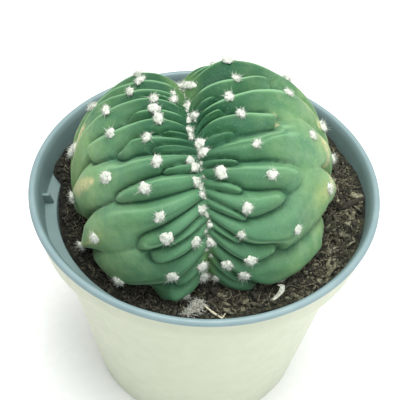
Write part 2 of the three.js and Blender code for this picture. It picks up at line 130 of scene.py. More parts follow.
def add_noise(look, size, detail=3.0, roughness=0.5, stretch=(1, 1, 1)):
    """A noise pattern in the row frame whose blotches are about size metres across."""
    tree = look.node_tree
    place = tree.nodes.new("ShaderNodeTexCoord")
    scaled = tree.nodes.new("ShaderNodeVectorMath")
    scaled.operation = "MULTIPLY"
    scaled.inputs[1].default_value = stretch
    tree.links.new(place.outputs["Object"], scaled.inputs[0])
    pattern = tree.nodes.new("ShaderNodeTexNoise")
    pattern.inputs["Scale"].default_value = 1 / size
    pattern.inputs["Detail"].default_value = detail
    pattern.inputs["Roughness"].default_value = roughness
    tree.links.new(scaled.outputs[0], pattern.inputs["Vector"])
    return pattern.outputs["Fac"]


def add_ramp(look, value, *stops):
    """Colours or greys for a value from 0 to 1. Each stop is (value, colour)."""
    ramp = look.node_tree.nodes.new("ShaderNodeValToRGB")
    while len(ramp.color_ramp.elements) < len(stops):
        ramp.color_ramp.elements.new(0.5)
    for element, (position, colour) in zip(ramp.color_ramp.elements, stops):
        element.position = position
        element.color = (*colour, 1) if isinstance(colour, tuple) else (colour, colour, colour, 1)
    look.node_tree.links.new(value, ramp.inputs["Fac"])
    return ramp.outputs["Color"]


def paint(look, value, socket="Base Color"):
    """Gives the shader a colour, or another value that changes over the surface."""
    look.node_tree.links.new(value, shader(look).inputs[socket])


floor_reach = 3
floor_look = new_material("studio_sheet", 0.9)
floor_grain = add_noise(floor_look, 4 * MM)
paint(floor_look, add_ramp(floor_look, floor_grain, (0.3, 0.93), (0.7, 0.96)))
floor_corners = [(x * floor_reach, y * floor_reach, 0) for x, y in ((-1, -1), (1, -1), (1, 1), (-1, 1))]
floor = new_object("studio_floor", floor_corners, [(0, 1, 2, 3)], floor_look, smooth_faces=False)


# The pot is one thin injection-moulded shell of blue-grey plastic: a rolled rim, a collar that narrows a
# little to its foot, a ledge with four thin stacking lugs, a tapered wall and a floor with drain holes.
# Painted light: the rim is paler as a highlight, the outside paler and creamier, the inside darker as shade.
def smooth(value, start, end):
    """0 below start, 1 above end, and an even rise between them."""
    share = np.clip((value - start) / (end - start), 0, 1)
    return share * share * (3 - 2 * share)


def full_circle(count):
    """Evenly spaced angles all the way round."""
    return np.arange(count) * 2 * np.pi / count


def round_corners(points, radius, steps=4):
    """A profile with its inner corners rounded off."""
    made = [points[0]]
    for before, corner, after in zip(points, points[1:], points[2:]):
        corner = np.array(corner)
        reach_back = np.array(before) - corner
        reach_on = np.array(after) - corner
        start = corner + reach_back * min(0.5, radius / np.linalg.norm(reach_back))
        end = corner + reach_on * min(0.5, radius / np.linalg.norm(reach_on))
        for share in np.linspace(0, 1, steps + 1):
            made.append(tuple((1 - share) ** 2 * start + 2 * share * (1 - share) * corner + share**2 * end))
    return made + [points[-1]]


def wrap_rings(ring_count, segments, inside_out=False):
    """Faces that join rings of vertices, and close them onto the two vertices that follow the rings."""
    ends = ring_count * segments
    faces = []
    for step in range(segments):
        beside = (step + 1) % segments
        faces.append((ends, beside, step))
        for low in range(0, ends - segments, segments):
            high = low + segments
            faces.append((low + step, low + beside, high + beside, high + step))
        faces.append((ends + 1, ends - segments + step, ends - segments + beside))
    return [face[:1] + face[:0:-1] for face in faces] if inside_out else faces


def turn_profile(profile, segments):
    """A closed solid of revolution from a profile that starts and ends on the axis."""
    turns = full_circle(segments)
    rings = [np.stack([r * np.cos(turns), r * np.sin(turns), 0 * turns + z], 1) for r, z in profile[1:-1]]
    vertices = np.concatenate(rings + [[[0, 0, profile[0][1]], [0, 0, profile[-1][1]]]])
    return vertices, wrap_rings(len(rings), segments)


def taken_out(shape):
    """The vertices and faces of a bmesh shape, which is then freed."""
    made = [tuple(v.co) for v in shape.verts], [[v.index for v in face.verts] for face in shape.faces]
    shape.free()
    return made


def rounded_block(centre, size, edge):
    """A small block with rounded edges: its vertices and faces."""
    shape = bmesh.new()
    bmesh.ops.create_cube(shape, size=1)
    bmesh.ops.scale(shape, vec=Vector(size), verts=shape.verts)
    bmesh.ops.bevel(shape, geom=list(shape.edges), offset=edge, segments=3, affect="EDGES", profile=0.5)
    bmesh.ops.translate(shape, vec=Vector(centre), verts=shape.verts)
    return taken_out(shape)


def set_attribute(made, name, values):
    """One number for each vertex, for the piece's material to read."""
    attribute = made.data.attributes.new(name, "FLOAT", "POINT")
    attribute.data.foreach_set("value", np.asarray(values, np.float32))


def get_attribute(look, name):
    """The number that set_attribute gave, in a material."""
    attribute = look.node_tree.nodes.new("ShaderNodeAttribute")
    attribute.attribute_name = name
    return attribute.outputs["Fac"]


def add_mix(look, share, first, second, blend="MIX"):
    """Mixes two colours. Each is a colour or a socket, and the share is a number or a socket."""
    tree = look.node_tree
    mix = tree.nodes.new("ShaderNodeMix")
    mix.data_type = "RGBA"
    mix.blend_type = blend
    used = [socket for socket in mix.inputs if socket.enabled]
    for socket, value in zip(used, (share, first, second)):
        if isinstance(value, bpy.types.NodeSocket):
            tree.links.new(value, socket)
        elif isinstance(value, tuple):
            socket.default_value = (*value, 1)
        else:
            socket.default_value = value
    return [socket for socket in mix.outputs if socket.enabled][0]


def covered(look, colour, over, *shares):
    """A colour with another one over it, where all the shares are high."""
    share = shares[0]
    for other in shares[1:]:
        share = add_mix(look, 1.0, share, other, "MULTIPLY")
    return add_mix(look, share, colour, over)


def add_bump(look, height, depth, before=None):
    """Raises the surface by a pattern that is depth metres deep, on top of an earlier bump."""
    tree = look.node_tree
    bump = tree.nodes.new("ShaderNodeBump")
    bump.inputs["Distance"].default_value = depth
    tree.links.new(height, bump.inputs["Height"])
    if before:
        tree.links.new(before.outputs["Normal"], bump.inputs["Normal"])
    tree.links.new(bump.outputs["Normal"], shader(look).inputs["Normal"])
    return bump


rim_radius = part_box("pot")[1].x
pot_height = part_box("pot")[1].z
rim_bead = 1.35 * MM
bead_turns = range(-54, 163, 18)
bead_steps_outside = 3
collar_outside = rim_radius - 2.3 * MM
collar_inside = rim_radius - 3.7 * MM
collar_foot = rim_radius - 4.9 * MM
collar_depth = 12 * MM
shoulder_outside = rim_radius - 7.1 * MM
shoulder_inside = rim_radius - 9.3 * MM
wall = 1.3 * MM
foot_radius = 45 * MM
floor_thickness = 2 * MM
pot_edge = 0.5 * MM
pot_segments = 240
drain_count = 6
drain_radius = 3.5 * MM
drain_circle = 33 * MM
drain_sides = 24
ledge = pot_height - collar_depth
bead_foot = pot_height - 2.2 * rim_bead
lug_count = 4
lug_reach, lug_thickness, lug_height = 4.6 * MM, 1.3 * MM, 4.9 * MM
lug_slope = 1.5 * MM
lug_edge = 0.3 * MM
lug_start = math.radians(5)
lug_sunk = 0.4 * MM
lug_low = ledge - lug_sunk
lug_back = collar_foot + 1.2 * MM

outer = [
    (0, 0),
    (foot_radius, 0),
    (shoulder_outside, ledge - wall),
    (collar_outside, ledge - wall),
    (collar_outside, bead_foot),
]
bead_middle = (rim_radius - rim_bead, pot_height - rim_bead)
bead = []
for turn in np.radians(bead_turns):
    bead.append((bead_middle[0] + rim_bead * math.cos(turn), bead_middle[1] + rim_bead * math.sin(turn)))
inner = [
    (collar_inside, bead_foot),
    (collar_foot, ledge),
    (shoulder_inside, ledge),
    (foot_radius - wall, floor_thickness),
    (0, floor_thickness),
]
outer_profile = round_corners(outer, pot_edge)
inner_profile = round_corners(inner, pot_edge)
pot_vertices, pot_faces = turn_profile(outer_profile + bead + inner_profile, pot_segments)
outside_count = (len(outer_profile) - 1 + bead_steps_outside) * pot_segments

pot_look = new_material("moulded_plastic", 0.42)
pot = new_object("pot_shell", pot_vertices, pot_faces, pot_look)
set_attribute(pot, "outside", np.arange(len(pot_vertices)) < outside_count)
set_attribute(pot, "rim", smooth(pot_vertices[:, 2], bead_foot, pot_height - rim_bead))

pot_mottle = add_noise(pot_look, 9 * MM, 4)
# Painted shade darkens the inner wall's blue-grey; the rim and the outside are paler as painted light.
pot_inner_shaded = add_ramp(pot_look, pot_mottle, (0.3, (0.126, 0.195, 0.2)), (0.7, (0.152, 0.226, 0.224)))
pot_rim_highlight = add_ramp(pot_look, pot_mottle, (0.3, (0.178, 0.26, 0.28)), (0.7, (0.212, 0.298, 0.312)))
pot_outside_lit = add_ramp(pot_look, pot_mottle, (0.3, (0.49, 0.53, 0.405)), (0.7, (0.53, 0.56, 0.43)))
pot_colour = add_mix(pot_look, get_attribute(pot_look, "rim"), pot_inner_shaded, pot_rim_highlight)
pot_colour = add_mix(pot_look, get_attribute(pot_look, "outside"), pot_colour, pot_outside_lit)
pot_dust = add_ramp(pot_look, add_noise(pot_look, 1.1 * MM, 5, 0.7), (0.62, 0.0), (0.75, 0.35))
paint(pot_look, covered(pot_look, pot_colour, (0.33, 0.32, 0.26), pot_dust))
pot_gloss = add_ramp(pot_look, add_noise(pot_look, 5 * MM, 5, 0.6), (0.3, 0.34), (0.7, 0.52))
paint(pot_look, pot_gloss, "Roughness")
add_bump(pot_look, add_noise(pot_look, 1.5 * MM, 4, 0.6), 0.03 * MM)

for turn in full_circle(drain_count) + math.pi / drain_count:
    middle = (drain_circle * math.cos(turn), drain_circle * math.sin(turn))
    ring = [
        (middle[0] + drain_radius * math.cos(t), middle[1] + drain_radius * math.sin(t))
        for t in full_circle(drain_sides)
    ]
    drill_vertices = [(x, y, z) for z in (-wall, 3 * floor_thickness) for x, y in ring]
    drill_faces = [
        (s, (s + 1) % drain_sides, drain_sides + (s + 1) % drain_sides, drain_sides + s)
        for s in range(drain_sides)
    ]
    drill_faces += [tuple(reversed(range(drain_sides))), tuple(range(drain_sides, 2 * drain_sides))]
    drill = new_object("drill", drill_vertices, drill_faces, pot_look)
    cut = pot.modifiers.new("drain_hole", "BOOLEAN")
    cut.object = drill
    cut.solver = "EXACT"
    pot_cut = bpy.data.meshes.new_from_object(pot.evaluated_get(bpy.context.evaluated_depsgraph_get()))
    pot.modifiers.clear()
    pot.data = pot_cut
    bpy.data.objects.remove(drill)

lug_middle = (lug_back - lug_reach / 2, 0, lug_low + lug_height / 2)
lug_block, lug_faces = rounded_block(lug_middle, (lug_reach, lug_thickness, lug_height), lug_edge)
lug_vertices = [
    (x + lug_slope * (z - lug_low) / lug_height * (lug_back - x) / lug_reach, y, z) for x, y, z in lug_block
]
for lug in range(lug_count):
    lug_turn = Matrix.Rotation(lug_start + lug * 2 * math.pi / lug_count, 3, "Z")
    placed = [lug_turn @ Vector(vertex) for vertex in lug_vertices]
    block = new_object(f"stacking_lug_{lug + 1}", placed, lug_faces, pot_look)
    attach(block, "root")
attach(pot, "root")
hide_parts("pot")


# The soil is damp dark peat, filled in loose and pressed down a little round the plant. It stands higher at
# the right and is heaped up at the back left, where it lies on the pot's ledge. Its top breaks into crumbs
# and short fibres, and painted shade darkens it towards the left, where the plant shades it.
soil_level = pot_height - 11.5 * MM
soil_tilt = 0.078
soil_slope = 0.04
soil_gap = 0.3 * MM
soil_wall_gap = 0.15 * MM
soil_skirt_gap = 0.1 * MM
soil_on_ledge = ledge + 0.05 * MM
over_ledge = ledge + 0.01 * MM
soil_waves = [(11 * MM, 1.5 * MM), (4.5 * MM, 1.5 * MM), (2.1 * MM, 0.9 * MM), (1 * MM, 0.45 * MM)]
soil_seed = Vector((0.31, 0.47, 0.11))
soil_mounds = [
    {"middle": (55 * MM, 27 * MM), "reach": 13 * MM, "rise": -2.4 * MM},
    {"middle": (-53 * MM, 17 * MM), "reach": 24 * MM, "rise": 5.4 * MM},
]
shade_fades_from, shade_gone_at = -35 * MM, 40 * MM
soil_around = 560
soil_rings = [0.25, 0.45, 0.55, 0.6, *np.linspace(0.63, 1, 62)]


def soil_plain(x, y):
    """The height of the soil without its lumps. It has sunk at the back right and rises at the back left."""
    height = soil_level + soil_tilt * x + soil_slope * y
    for mound in soil_mounds:
        away = math.hypot(x - mound["middle"][0], y - mound["middle"][1])
        height += mound["rise"] * math.exp(-((away / mound["reach"]) ** 2))
    return height


def soil_height(x, y):
    """The height of the soil's lumpy top, which lies flatter at the pot's wall."""
    lumps = 0
    for size, height in soil_waves:
        lumps += height * noise.noise(Vector((x, y, 0)) / size + soil_seed)
    flatter = 1 - 0.6 * float(smooth(math.hypot(x, y), 0.9 * collar_inside, collar_inside))
    return soil_plain(x, y) + lumps * flatter


def soil_painted_shade(places):
    """How much painted shade darkens the peat at each place: most at the left, none at the right."""
    places = np.asarray(places)
    return 1 - smooth(places[:, 0] - 0.2 * places[:, 1], shade_fades_from, shade_gone_at)


def wall_inside(height):
    """How far out the pot's inner wall is at a height, less a small gap."""
    heights = [floor_thickness, ledge, over_ledge, bead_foot]
    reaches = [foot_radius - wall, shoulder_inside, collar_foot, collar_inside]
    return np.interp(height, heights, reaches) - soil_wall_gap


def soil_edge(turn):
    """How far out the soil reaches: to the collar where it covers the ledge, else to the tapered wall."""
    plain = soil_plain(shoulder_inside * math.cos(turn), shoulder_inside * math.sin(turn))
    covers = float(smooth(plain - ledge, 0.2 * MM, 1.6 * MM))
    return wall_inside(min(plain, ledge)) * (1 - covers) + wall_inside(max(plain, over_ledge)) * covers


def held_inside(vertices):
    """The same vertices, with any that would stand in the pot's wall pressed back inside it."""
    vertices = np.array(vertices, float)
    away = np.hypot(vertices[:, 0], vertices[:, 1])
    vertices[:, :2] *= np.minimum(1, wall_inside(vertices[:, 2]) / np.maximum(away, 1 * MM))[:, None]
    return vertices


soil_turns = full_circle(soil_around)
soil_edges = [soil_edge(turn) for turn in soil_turns]
soil_vertices = []
for ring in soil_rings:
    for turn, edge in zip(soil_turns, soil_edges):
        x, y = ring * edge * math.cos(turn), ring * edge * math.sin(turn)
        lowest = soil_on_ledge if ring * edge > shoulder_inside - soil_wall_gap else 0
        soil_vertices.append((x, y, max(soil_height(x, y), lowest)))
soil_tops = [vertex[2] for vertex in soil_vertices[-soil_around:]]
soil_skirt = [
    (rim_radius, ledge + soil_gap),
    (shoulder_inside - soil_gap, ledge - soil_skirt_gap),
    (foot_radius - wall - soil_gap, floor_thickness + soil_gap),
]
for reach, height in soil_skirt:
    for turn, edge, top in zip(soil_turns, soil_edges, soil_tops):
        radius = min(reach, edge)
        height_here = min(height, top - soil_skirt_gap)
        soil_vertices.append((radius * math.cos(turn), radius * math.sin(turn), height_here))
soil_vertices.append((0, 0, soil_height(0, 0)))
soil_vertices.append((0, 0, floor_thickness + soil_gap))
soil_faces = wrap_rings(len(soil_rings) + len(soil_skirt), soil_around, inside_out=True)

soil_look = new_material("damp_peat", 0.95)
soil_colour = add_ramp(
    soil_look,
    add_noise(soil_look, 1.5 * MM, 6, 0.75),
    (0.36, (0.006, 0.006, 0.004)),
    (0.5, (0.028, 0.027, 0.018)),
    (0.6, (0.09, 0.085, 0.055)),
    (0.72, (0.27, 0.24, 0.16)),
)
soil_patches = add_noise(soil_look, 7 * MM, 3)
soil_patches = add_ramp(soil_look, soil_patches, (0.35, (0.3, 0.32, 0.3)), (0.65, (1.1, 1.11, 0.95)))
soil_colour = add_mix(soil_look, 1.0, soil_colour, soil_patches, "MULTIPLY")
soil_shade_share = get_attribute(soil_look, "painted_shade")
# Painted shade: the peat is darker towards the left, where the plant shades it.
paint(soil_look, add_mix(soil_look, soil_shade_share, soil_colour, (0.36, 0.38, 0.37), "MULTIPLY"))
add_bump(soil_look, add_noise(soil_look, 0.8 * MM, 6, 0.75), 0.6 * MM)
soil = new_object("peat_bed", soil_vertices, soil_faces, soil_look)
set_attribute(soil, "painted_shade", soil_painted_shade(soil_vertices))
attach(soil, "root")
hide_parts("soil")


# Loose crumbs of peat, from dust to small clods, lie all over the soil, and the larger ones are at the
# right. They are rough bits that broke off the peat, some of them dry and pale.
def scatter(shape, places, turns, sizes):
    """Copies of one shape, each turned and stretched in its own way: vertices, faces and copy numbers."""
    vertices, faces = np.asarray(shape[0], float), np.asarray(shape[1])
    grown = np.einsum("nij,nvj->nvi", turns, vertices[None] * np.asarray(sizes)[:, None, :])
    grown += places[:, None, :]
    starts = np.arange(len(places))[:, None, None] * len(vertices)
    faces = (faces[None] + starts).reshape(-1, faces.shape[1])
    return grown.reshape(-1, 3), faces, np.repeat(np.arange(len(places)), len(vertices))


def round_shape(fineness):
    """An icosphere of radius 1: vertices and triangles."""
    shape = bmesh.new()
    bmesh.ops.create_icosphere(shape, subdivisions=fineness, radius=1)
    return taken_out(shape)


def noise_at(places, sizes):
    """Noise at each place, as a column, with lumps of one size or of a size for each place."""
    sizes = np.broadcast_to(sizes, len(places))
    return np.array([[noise.noise(Vector(place) / size)] for place, size in zip(places, sizes)])


def lumpy(vertices, middles, sizes, share):
    """Vertices moved in or out from their middles by a noise with lumps of the sizes given."""
    return vertices + (vertices - middles) * share * noise_at(vertices, sizes)


def random_turns(count, draw):
    """Random rotations, as 3x3 matrices."""
    columns = np.linalg.qr(draw.normal(size=(count, 3, 3)))[0]
    columns[:, :, 2] *= np.linalg.det(columns)[:, None]
    return columns


open_from, open_to = 0.62, 0.97


def soil_spots(count, draw):
    """Random places on the open ring of soil between the plant's middle and the pot's wall."""
    turns = draw.uniform(0, 2 * np.pi, count)
    shares = np.sqrt(draw.uniform(open_from**2, open_to, count))
    edges = np.array([soil_edge(turn) for turn in turns]) - 0.8 * MM
    return np.stack([shares * edges * np.cos(turns), shares * edges * np.sin(turns)], 1)


def two_toned(look, dark, light, light_from):
    """Paints loose bits dark or light by the shade that each one has."""
    share = add_ramp(look, get_attribute(look, "shade"), (light_from, 0.0), (0.9, 1.0))
    paint(look, add_mix(look, share, dark, light))


crumb_draw = np.random.default_rng(5)
crumb_kinds = [
    {"name": "peat_dust", "count": 5600, "radius": (0.25 * MM, 0.6 * MM), "fineness": 1},
    {"name": "peat_crumbs", "count": 1500, "radius": (0.5 * MM, 1.2 * MM), "fineness": 2},
    {"name": "peat_clods", "count": 90, "radius": (1.2 * MM, 2.1 * MM), "fineness": 3},
]
crumb_least, crumb_most = (0.9, 0.6, 0.4), (1.9, 1, 0.8)
crumb_rise = 0.25
clods_kept, clods_strewn = 0.6, 20 * MM
crumb_look = new_material("peat_crumb", 0.95)
crumb_grain = add_noise(crumb_look, 0.9 * MM, 4, 0.7)
crumb_dark = add_ramp(crumb_look, crumb_grain, (0.38, (0.006, 0.006, 0.005)), (0.68, (0.07, 0.066, 0.045)))
crumb_light = add_ramp(crumb_look, crumb_grain, (0.34, (0.04, 0.037, 0.022)), (0.66, (0.31, 0.3, 0.2)))
two_toned(crumb_look, crumb_dark, crumb_light, 0.45)
add_bump(crumb_look, add_noise(crumb_look, 0.35 * MM, 4, 0.7), 0.15 * MM)
for kind in crumb_kinds:
    spots = soil_spots(kind["count"], crumb_draw)
    radii = crumb_draw.uniform(*kind["radius"], kind["count"])
    if kind["name"] == "peat_clods":
        rank = -spots[:, 0] + clods_strewn * crumb_draw.normal(size=len(spots))
        spots = spots[np.argsort(rank)][: int(clods_kept * len(spots))]
        radii = radii[: len(spots)]
    heights = np.array([soil_height(x, y) for x, y in spots])
    places = np.column_stack([spots, heights + crumb_rise * radii])
    sizes = radii[:, None] * crumb_draw.uniform(crumb_least, crumb_most, (len(radii), 3))
    turns = random_turns(len(radii), crumb_draw)
    vertices, faces, copies = scatter(round_shape(kind["fineness"]), places, turns, sizes)
    vertices = lumpy(vertices, places[copies], 0.8 * radii[copies], 0.9)
    round_bits = kind["fineness"] > 1
    crumbs = new_object(kind["name"], held_inside(vertices), faces, crumb_look, smooth_faces=round_bits)
    # Painted shade: the crumbs are darker towards the left, like the peat under them.
    out_of_shade = 1 - 0.55 * soil_painted_shade(places)
    set_attribute(crumbs, "shade", (crumb_draw.uniform(0, 1, len(radii)) * out_of_shade)[copies])
    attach(crumbs, "root")


# Short peat fibres and bits of root lie over the crumbs in every direction. Each is one thin strand, bent
# and pale or dark brown, that thins out to both ends.
def make_tubes(paths, radii, sides):
    """Thin closed tubes along paths of equally many points: vertices, faces and path numbers."""
    paths = np.asarray(paths, float)
    radii = np.asarray(radii, float)
    count, places = paths.shape[:2]
    along = np.gradient(paths, axis=1)
    along /= np.linalg.norm(along, axis=2, keepdims=True) + 1e-12
    pick = np.eye(3)[np.argmin(np.abs(along.mean(axis=1)), axis=1)]
    across = np.cross(along, pick[:, None, :])
    across /= np.linalg.norm(across, axis=2, keepdims=True) + 1e-12
    up = np.cross(along, across)
    turns = full_circle(sides)[:, None]
    ring = across[:, :, None] * np.cos(turns) + up[:, :, None] * np.sin(turns)
    vertices = (paths[:, :, None] + ring * radii[:, :, None, None]).reshape(-1, 3)
    here = np.arange(sides)
    beside = (here + 1) % sides
    quads = []
    for low in range(0, (places - 1) * sides, sides):
        high = low + sides
        quads.append(np.stack([low + here, low + beside, high + beside, high + here], 1))
    starts = np.arange(count) * places * sides
    faces = (np.concatenate(quads)[None] + starts[:, None, None]).reshape(-1, 4).tolist()
    for start in starts.tolist():
        faces.append([start + side for side in reversed(range(sides))])
        faces.append([start + (places - 1) * sides + side for side in range(sides)])
    return vertices, faces, np.repeat(np.arange(count), places * sides)


def lying_paths(spots, headings, lengths, bends, lifts, steps):
    """Paths over the soil from each spot, along its heading, bending sideways, at a height over the soil."""
    paths = []
    for (x, y), heading, length, bend, lift in zip(spots, headings, lengths, bends, lifts):
        path = []
        for share in np.linspace(-0.5, 0.5, steps):
            turn = heading + bend * share
            px = x + length * share * math.cos(turn)
            py = y + length * share * math.sin(turn)
            path.append((px, py, soil_height(px, py) + lift * (1 + 0.8 * math.sin(7 * share + heading))))
        paths.append(path)
    return np.array(paths)


fibre_draw = np.random.default_rng(8)
fibre_count = 1700
fibre_steps = 7
fibre_sides = 4
fibre_spots = soil_spots(fibre_count, fibre_draw) * 0.98
fibre_lengths = fibre_draw.gamma(4, 1.1, fibre_count) * MM + 1 * MM
fibre_headings = fibre_draw.uniform(0, 2 * np.pi, fibre_count)
fibre_bends = fibre_draw.normal(0, 1.3, fibre_count)
fibre_lifts = fibre_draw.uniform(0.2, 0.9, fibre_count) * MM
fibre_paths = lying_paths(fibre_spots, fibre_headings, fibre_lengths, fibre_bends, fibre_lifts, fibre_steps)
fibre_taper = 0.35 + 0.65 * np.sin(np.linspace(0.15, 0.9, fibre_steps) * np.pi)
fibre_radii = fibre_draw.uniform(0.05, 0.14, fibre_count)[:, None] * MM * fibre_taper
vertices, faces, copies = make_tubes(fibre_paths, fibre_radii, fibre_sides)
fibre_look = new_material("peat_fibre", 0.85)
fibre_grain = add_noise(fibre_look, 0.8 * MM, 3, 0.6, stretch=(1, 1, 3))
fibre_dark = add_ramp(fibre_look, fibre_grain, (0.35, (0.02, 0.017, 0.011)), (0.7, (0.11, 0.09, 0.058)))
fibre_light = add_ramp(fibre_look, fibre_grain, (0.35, (0.19, 0.16, 0.1)), (0.7, (0.47, 0.43, 0.31)))
two_toned(fibre_look, fibre_dark, fibre_light, 0.5)
fibres = new_object("peat_fibres", held_inside(vertices), faces, fibre_look)
set_attribute(fibres, "shade", fibre_draw.uniform(0, 1, fibre_count)[copies])
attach(fibres, "root")


# A dark pointed strip of bark in the peat lies at the right, with its tip against the pot's collar. It is
# split along its length, so it is made of three strands grown together.
def grained_look(name, dullness, size, stops, depth, detail=4, roughness=0.6, stretch=(1, 1, 1)):
    """A material whose colour and relief both follow one grain."""
    look = new_material(name, dullness)
    grain = add_noise(look, size, detail, roughness, stretch)
    paint(look, add_ramp(look, grain, *stops))
    add_bump(look, grain, depth)
    return look


bark_run = [(50.4, -5, 0.6), (53, -4, 1), (55.5, -3.2, 1.3), (58, -2.4, 1.9), (60.2, -1.9, 2.8)]
bark_radii = np.array([0.5, 0.95, 0.85, 0.55, 0.12]) * MM
bark_strands = [
    {"aside": 0, "rise": 0, "thickness": 1},
    {"aside": -0.7 * MM, "rise": -0.25 * MM, "thickness": 0.7},
    {"aside": 0.6 * MM, "rise": -0.3 * MM, "thickness": 0.6},
]
bark_sides = 9
bark_path = np.array([(x * MM, y * MM, soil_height(x * MM, y * MM) + lift * MM) for x, y, lift in bark_run])
strand_paths = [bark_path + [0, strand["aside"], strand["rise"]] for strand in bark_strands]
strand_radii = [bark_radii * strand["thickness"] for strand in bark_strands]
vertices, faces, copies = make_tubes(strand_paths, strand_radii, bark_sides)
vertices = vertices + noise_at(vertices, 0.6 * MM) * [0.05 * MM, 0.25 * MM, 0.25 * MM]
bark_browns = [(0.35, (0.008, 0.007, 0.006)), (0.6, (0.045, 0.038, 0.027)), (0.75, (0.16, 0.13, 0.085))]
bark_look = grained_look(
    "peat_bark", 0.9, 0.7 * MM, bark_browns, 0.2 * MM, detail=5, roughness=0.7, stretch=(0.25, 1, 1)
)
bark = new_object("peat_bark_strip", vertices, faces, bark_look)
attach(bark, "root")


# The plant is one thick crested stem: it grew along a line instead of a point, so its ribs run out to both
# sides of a woolly groove and down to the soil. Its skin is waxy and blue-green, deeper along the groove,
# lighter low down and yellower on the low crests, with corky yellow patches on some of the rib ends. Its
# back and creases are darkened as painted shade, and its front rib tops and rib edges lit as painted light.
dome_centre = np.array([-6, 0.3, 95.7]) * MM
dome_turn = math.radians(12)
dome_left, dome_right = 43.3 * MM, 54.3 * MM
dome_front, dome_back = 48.6 * MM, 46.2 * MM
dome_height, dome_below = 41.4 * MM, 26 * MM
dome_squareness = 2.3
pole_dip = math.radians(28)
crest_groove, groove_reach = 8.5 * MM, 19 * MM
crest_width, long_width = 2.8 * MM, 5.2 * MM
opening_arcs, spreading_arcs = (8, 26), (26, 75)
lean_angles, most_lean = (0, 75), 0.22
nose_taper, nose_power, blunt_taper, blunt_power, taper_arc = 0.45, 2.2, 0.1, 7, 18
finger_nose, short_nose = 8 * MM, 5 * MM
nose_fill, fill_width, fill_arcs, fill_ends = 0.7, 1.9, (1, 13), (53, 74)
furrow_arcs = [0, 8, 22, 48, 80]
furrow_depths = [3.6 * MM, 5 * MM, 6.4 * MM, 5 * MM, 11 * MM]
top_plumpness, flank_plumpness, flank_arcs = 3.4, 2.3, (40, 75)
ridge_rounding = 0.1
front_ridge, back_ridge, flank_ridge = 0.4, 0.7, 0.15
skin_ground = soil_level - 3 * MM
plain_below = 7 * MM
bulge_starts, bulge_whole = 4 * MM, 9 * MM
tuft_arcs_back = [20, 48, 72]


# A rib's crest runs out from the crest line. Its places are {arc: angle}, in degrees: the arc out from the
# crest line, and the angle about the plant's middle from the top towards the front. Tufts are the arcs of
# its wool tufts. Wide is half its width, and low is how far it lies below the plain dome, both in
# millimetres. Low can also be {arc: low}.
def long_rib(places, tufts=(), wide=10.5, low=0.0):
    """A rib that runs all the way down to the soil."""
    lows = low if isinstance(low, dict) else {0: low, 90: low}
    return {"reach": 180, "nose": 0, "places": places, "tufts": tufts, "wide": wide, "low": lows}


def finger(reach, places, tufts=(), wide=4.6, low=0.0, blunt=False, fade=1.0):
    """A rib that ends in a round or blunt nose. Fade is how far the furrow past its nose is filled up."""
    rib = long_rib(places, tufts, wide, low)
    return {**rib, "reach": reach, "nose": finger_nose, "blunt": blunt, "fade": fade}


def short(reach, places, tufts=()):
    """A thin short rib in between, near the crest line."""
    rib = long_rib(places, tufts, wide=3.5, low=0.4)
    return {**rib, "reach": reach, "nose": short_nose, "blunt": False}


def back_ribs(first, lean, low):
    """The ribs of one side at the back, where long ribs and fingers take turns."""
    made = []
    for number, angle in enumerate([-106, -94, -82, -70, -59, -48, -37], first):
        places = {0: angle, 30: angle - lean, 60: angle + lean, 90: angle + 2 * lean}
        if number % 2 == 0:
            made.append(long_rib(places, tuft_arcs_back, low=low))
        else:
            made.append(finger(34 + 3 * number, places, [24], low=low, fade=0.5))
    return made


left_ribs = back_ribs(0, 2, {0: 0.8, 42: 0.8, 62: -1.2}) + [
    long_rib({0: -24, 21: -24, 50: -31, 70: -31, 90: -29}, [21, 47], wide=7, low=1),
    long_rib({0: -13, 27: -15, 50: -23, 69: -21, 90: -20}, [27, 69], wide=5.5, low=0.6),
    long_rib({0: -4, 40: -9, 60: -11, 81: -10, 95: -9}, [17, 40], wide=5.5),
    finger(34, {0: 3, 18: 1, 33: 0, 50: -4, 66: -7, 90: -8}, [18], fade=0.1),
    finger(57, {0: 11, 17: 7, 40: 5, 55: 2, 66: -1, 90: -5}, [17, 40], blunt=True, fade=0.6),
    finger(39, {0: 20, 14: 18, 30: 14, 37: 16, 50: 10, 66: 5, 90: -2}, [23], fade=0.1),
    long_rib({0: 29, 20: 27, 45: 23, 66: 14, 90: 3}, [20, 44, 88], wide=6.5),
    finger(42, {0: 41, 20: 36, 40: 33, 66: 29, 90: 22}, [26], fade=0.2),
    long_rib({0: 48, 21: 47, 40: 43, 56: 45, 72: 48, 90: 49},
             [21, 56, 76], wide=7.5, low={0: 0, 50: 0, 70: -1.5, 90: -1.5}),
    finger(31, {0: 54, 19: 56, 30: 55, 46: 52, 66: 54, 90: 56}, [19]),
    finger(27, {0: 65, 24: 65, 46: 61, 66: 60, 90: 62}, [7]),
    long_rib({0: 73, 18: 75, 32: 74, 45: 73, 64: 68, 90: 68},
             [18, 45], wide=8.5, low={0: 0, 10: 0, 18: 1.2, 27: 1.2, 38: 0, 50: -0.5}),
    long_rib({0: 90, 13: 94, 23: 95, 50: 94, 90: 88}, [12], wide=8, low={0: -6, 16: -6, 23: 0, 30: 4}),
]
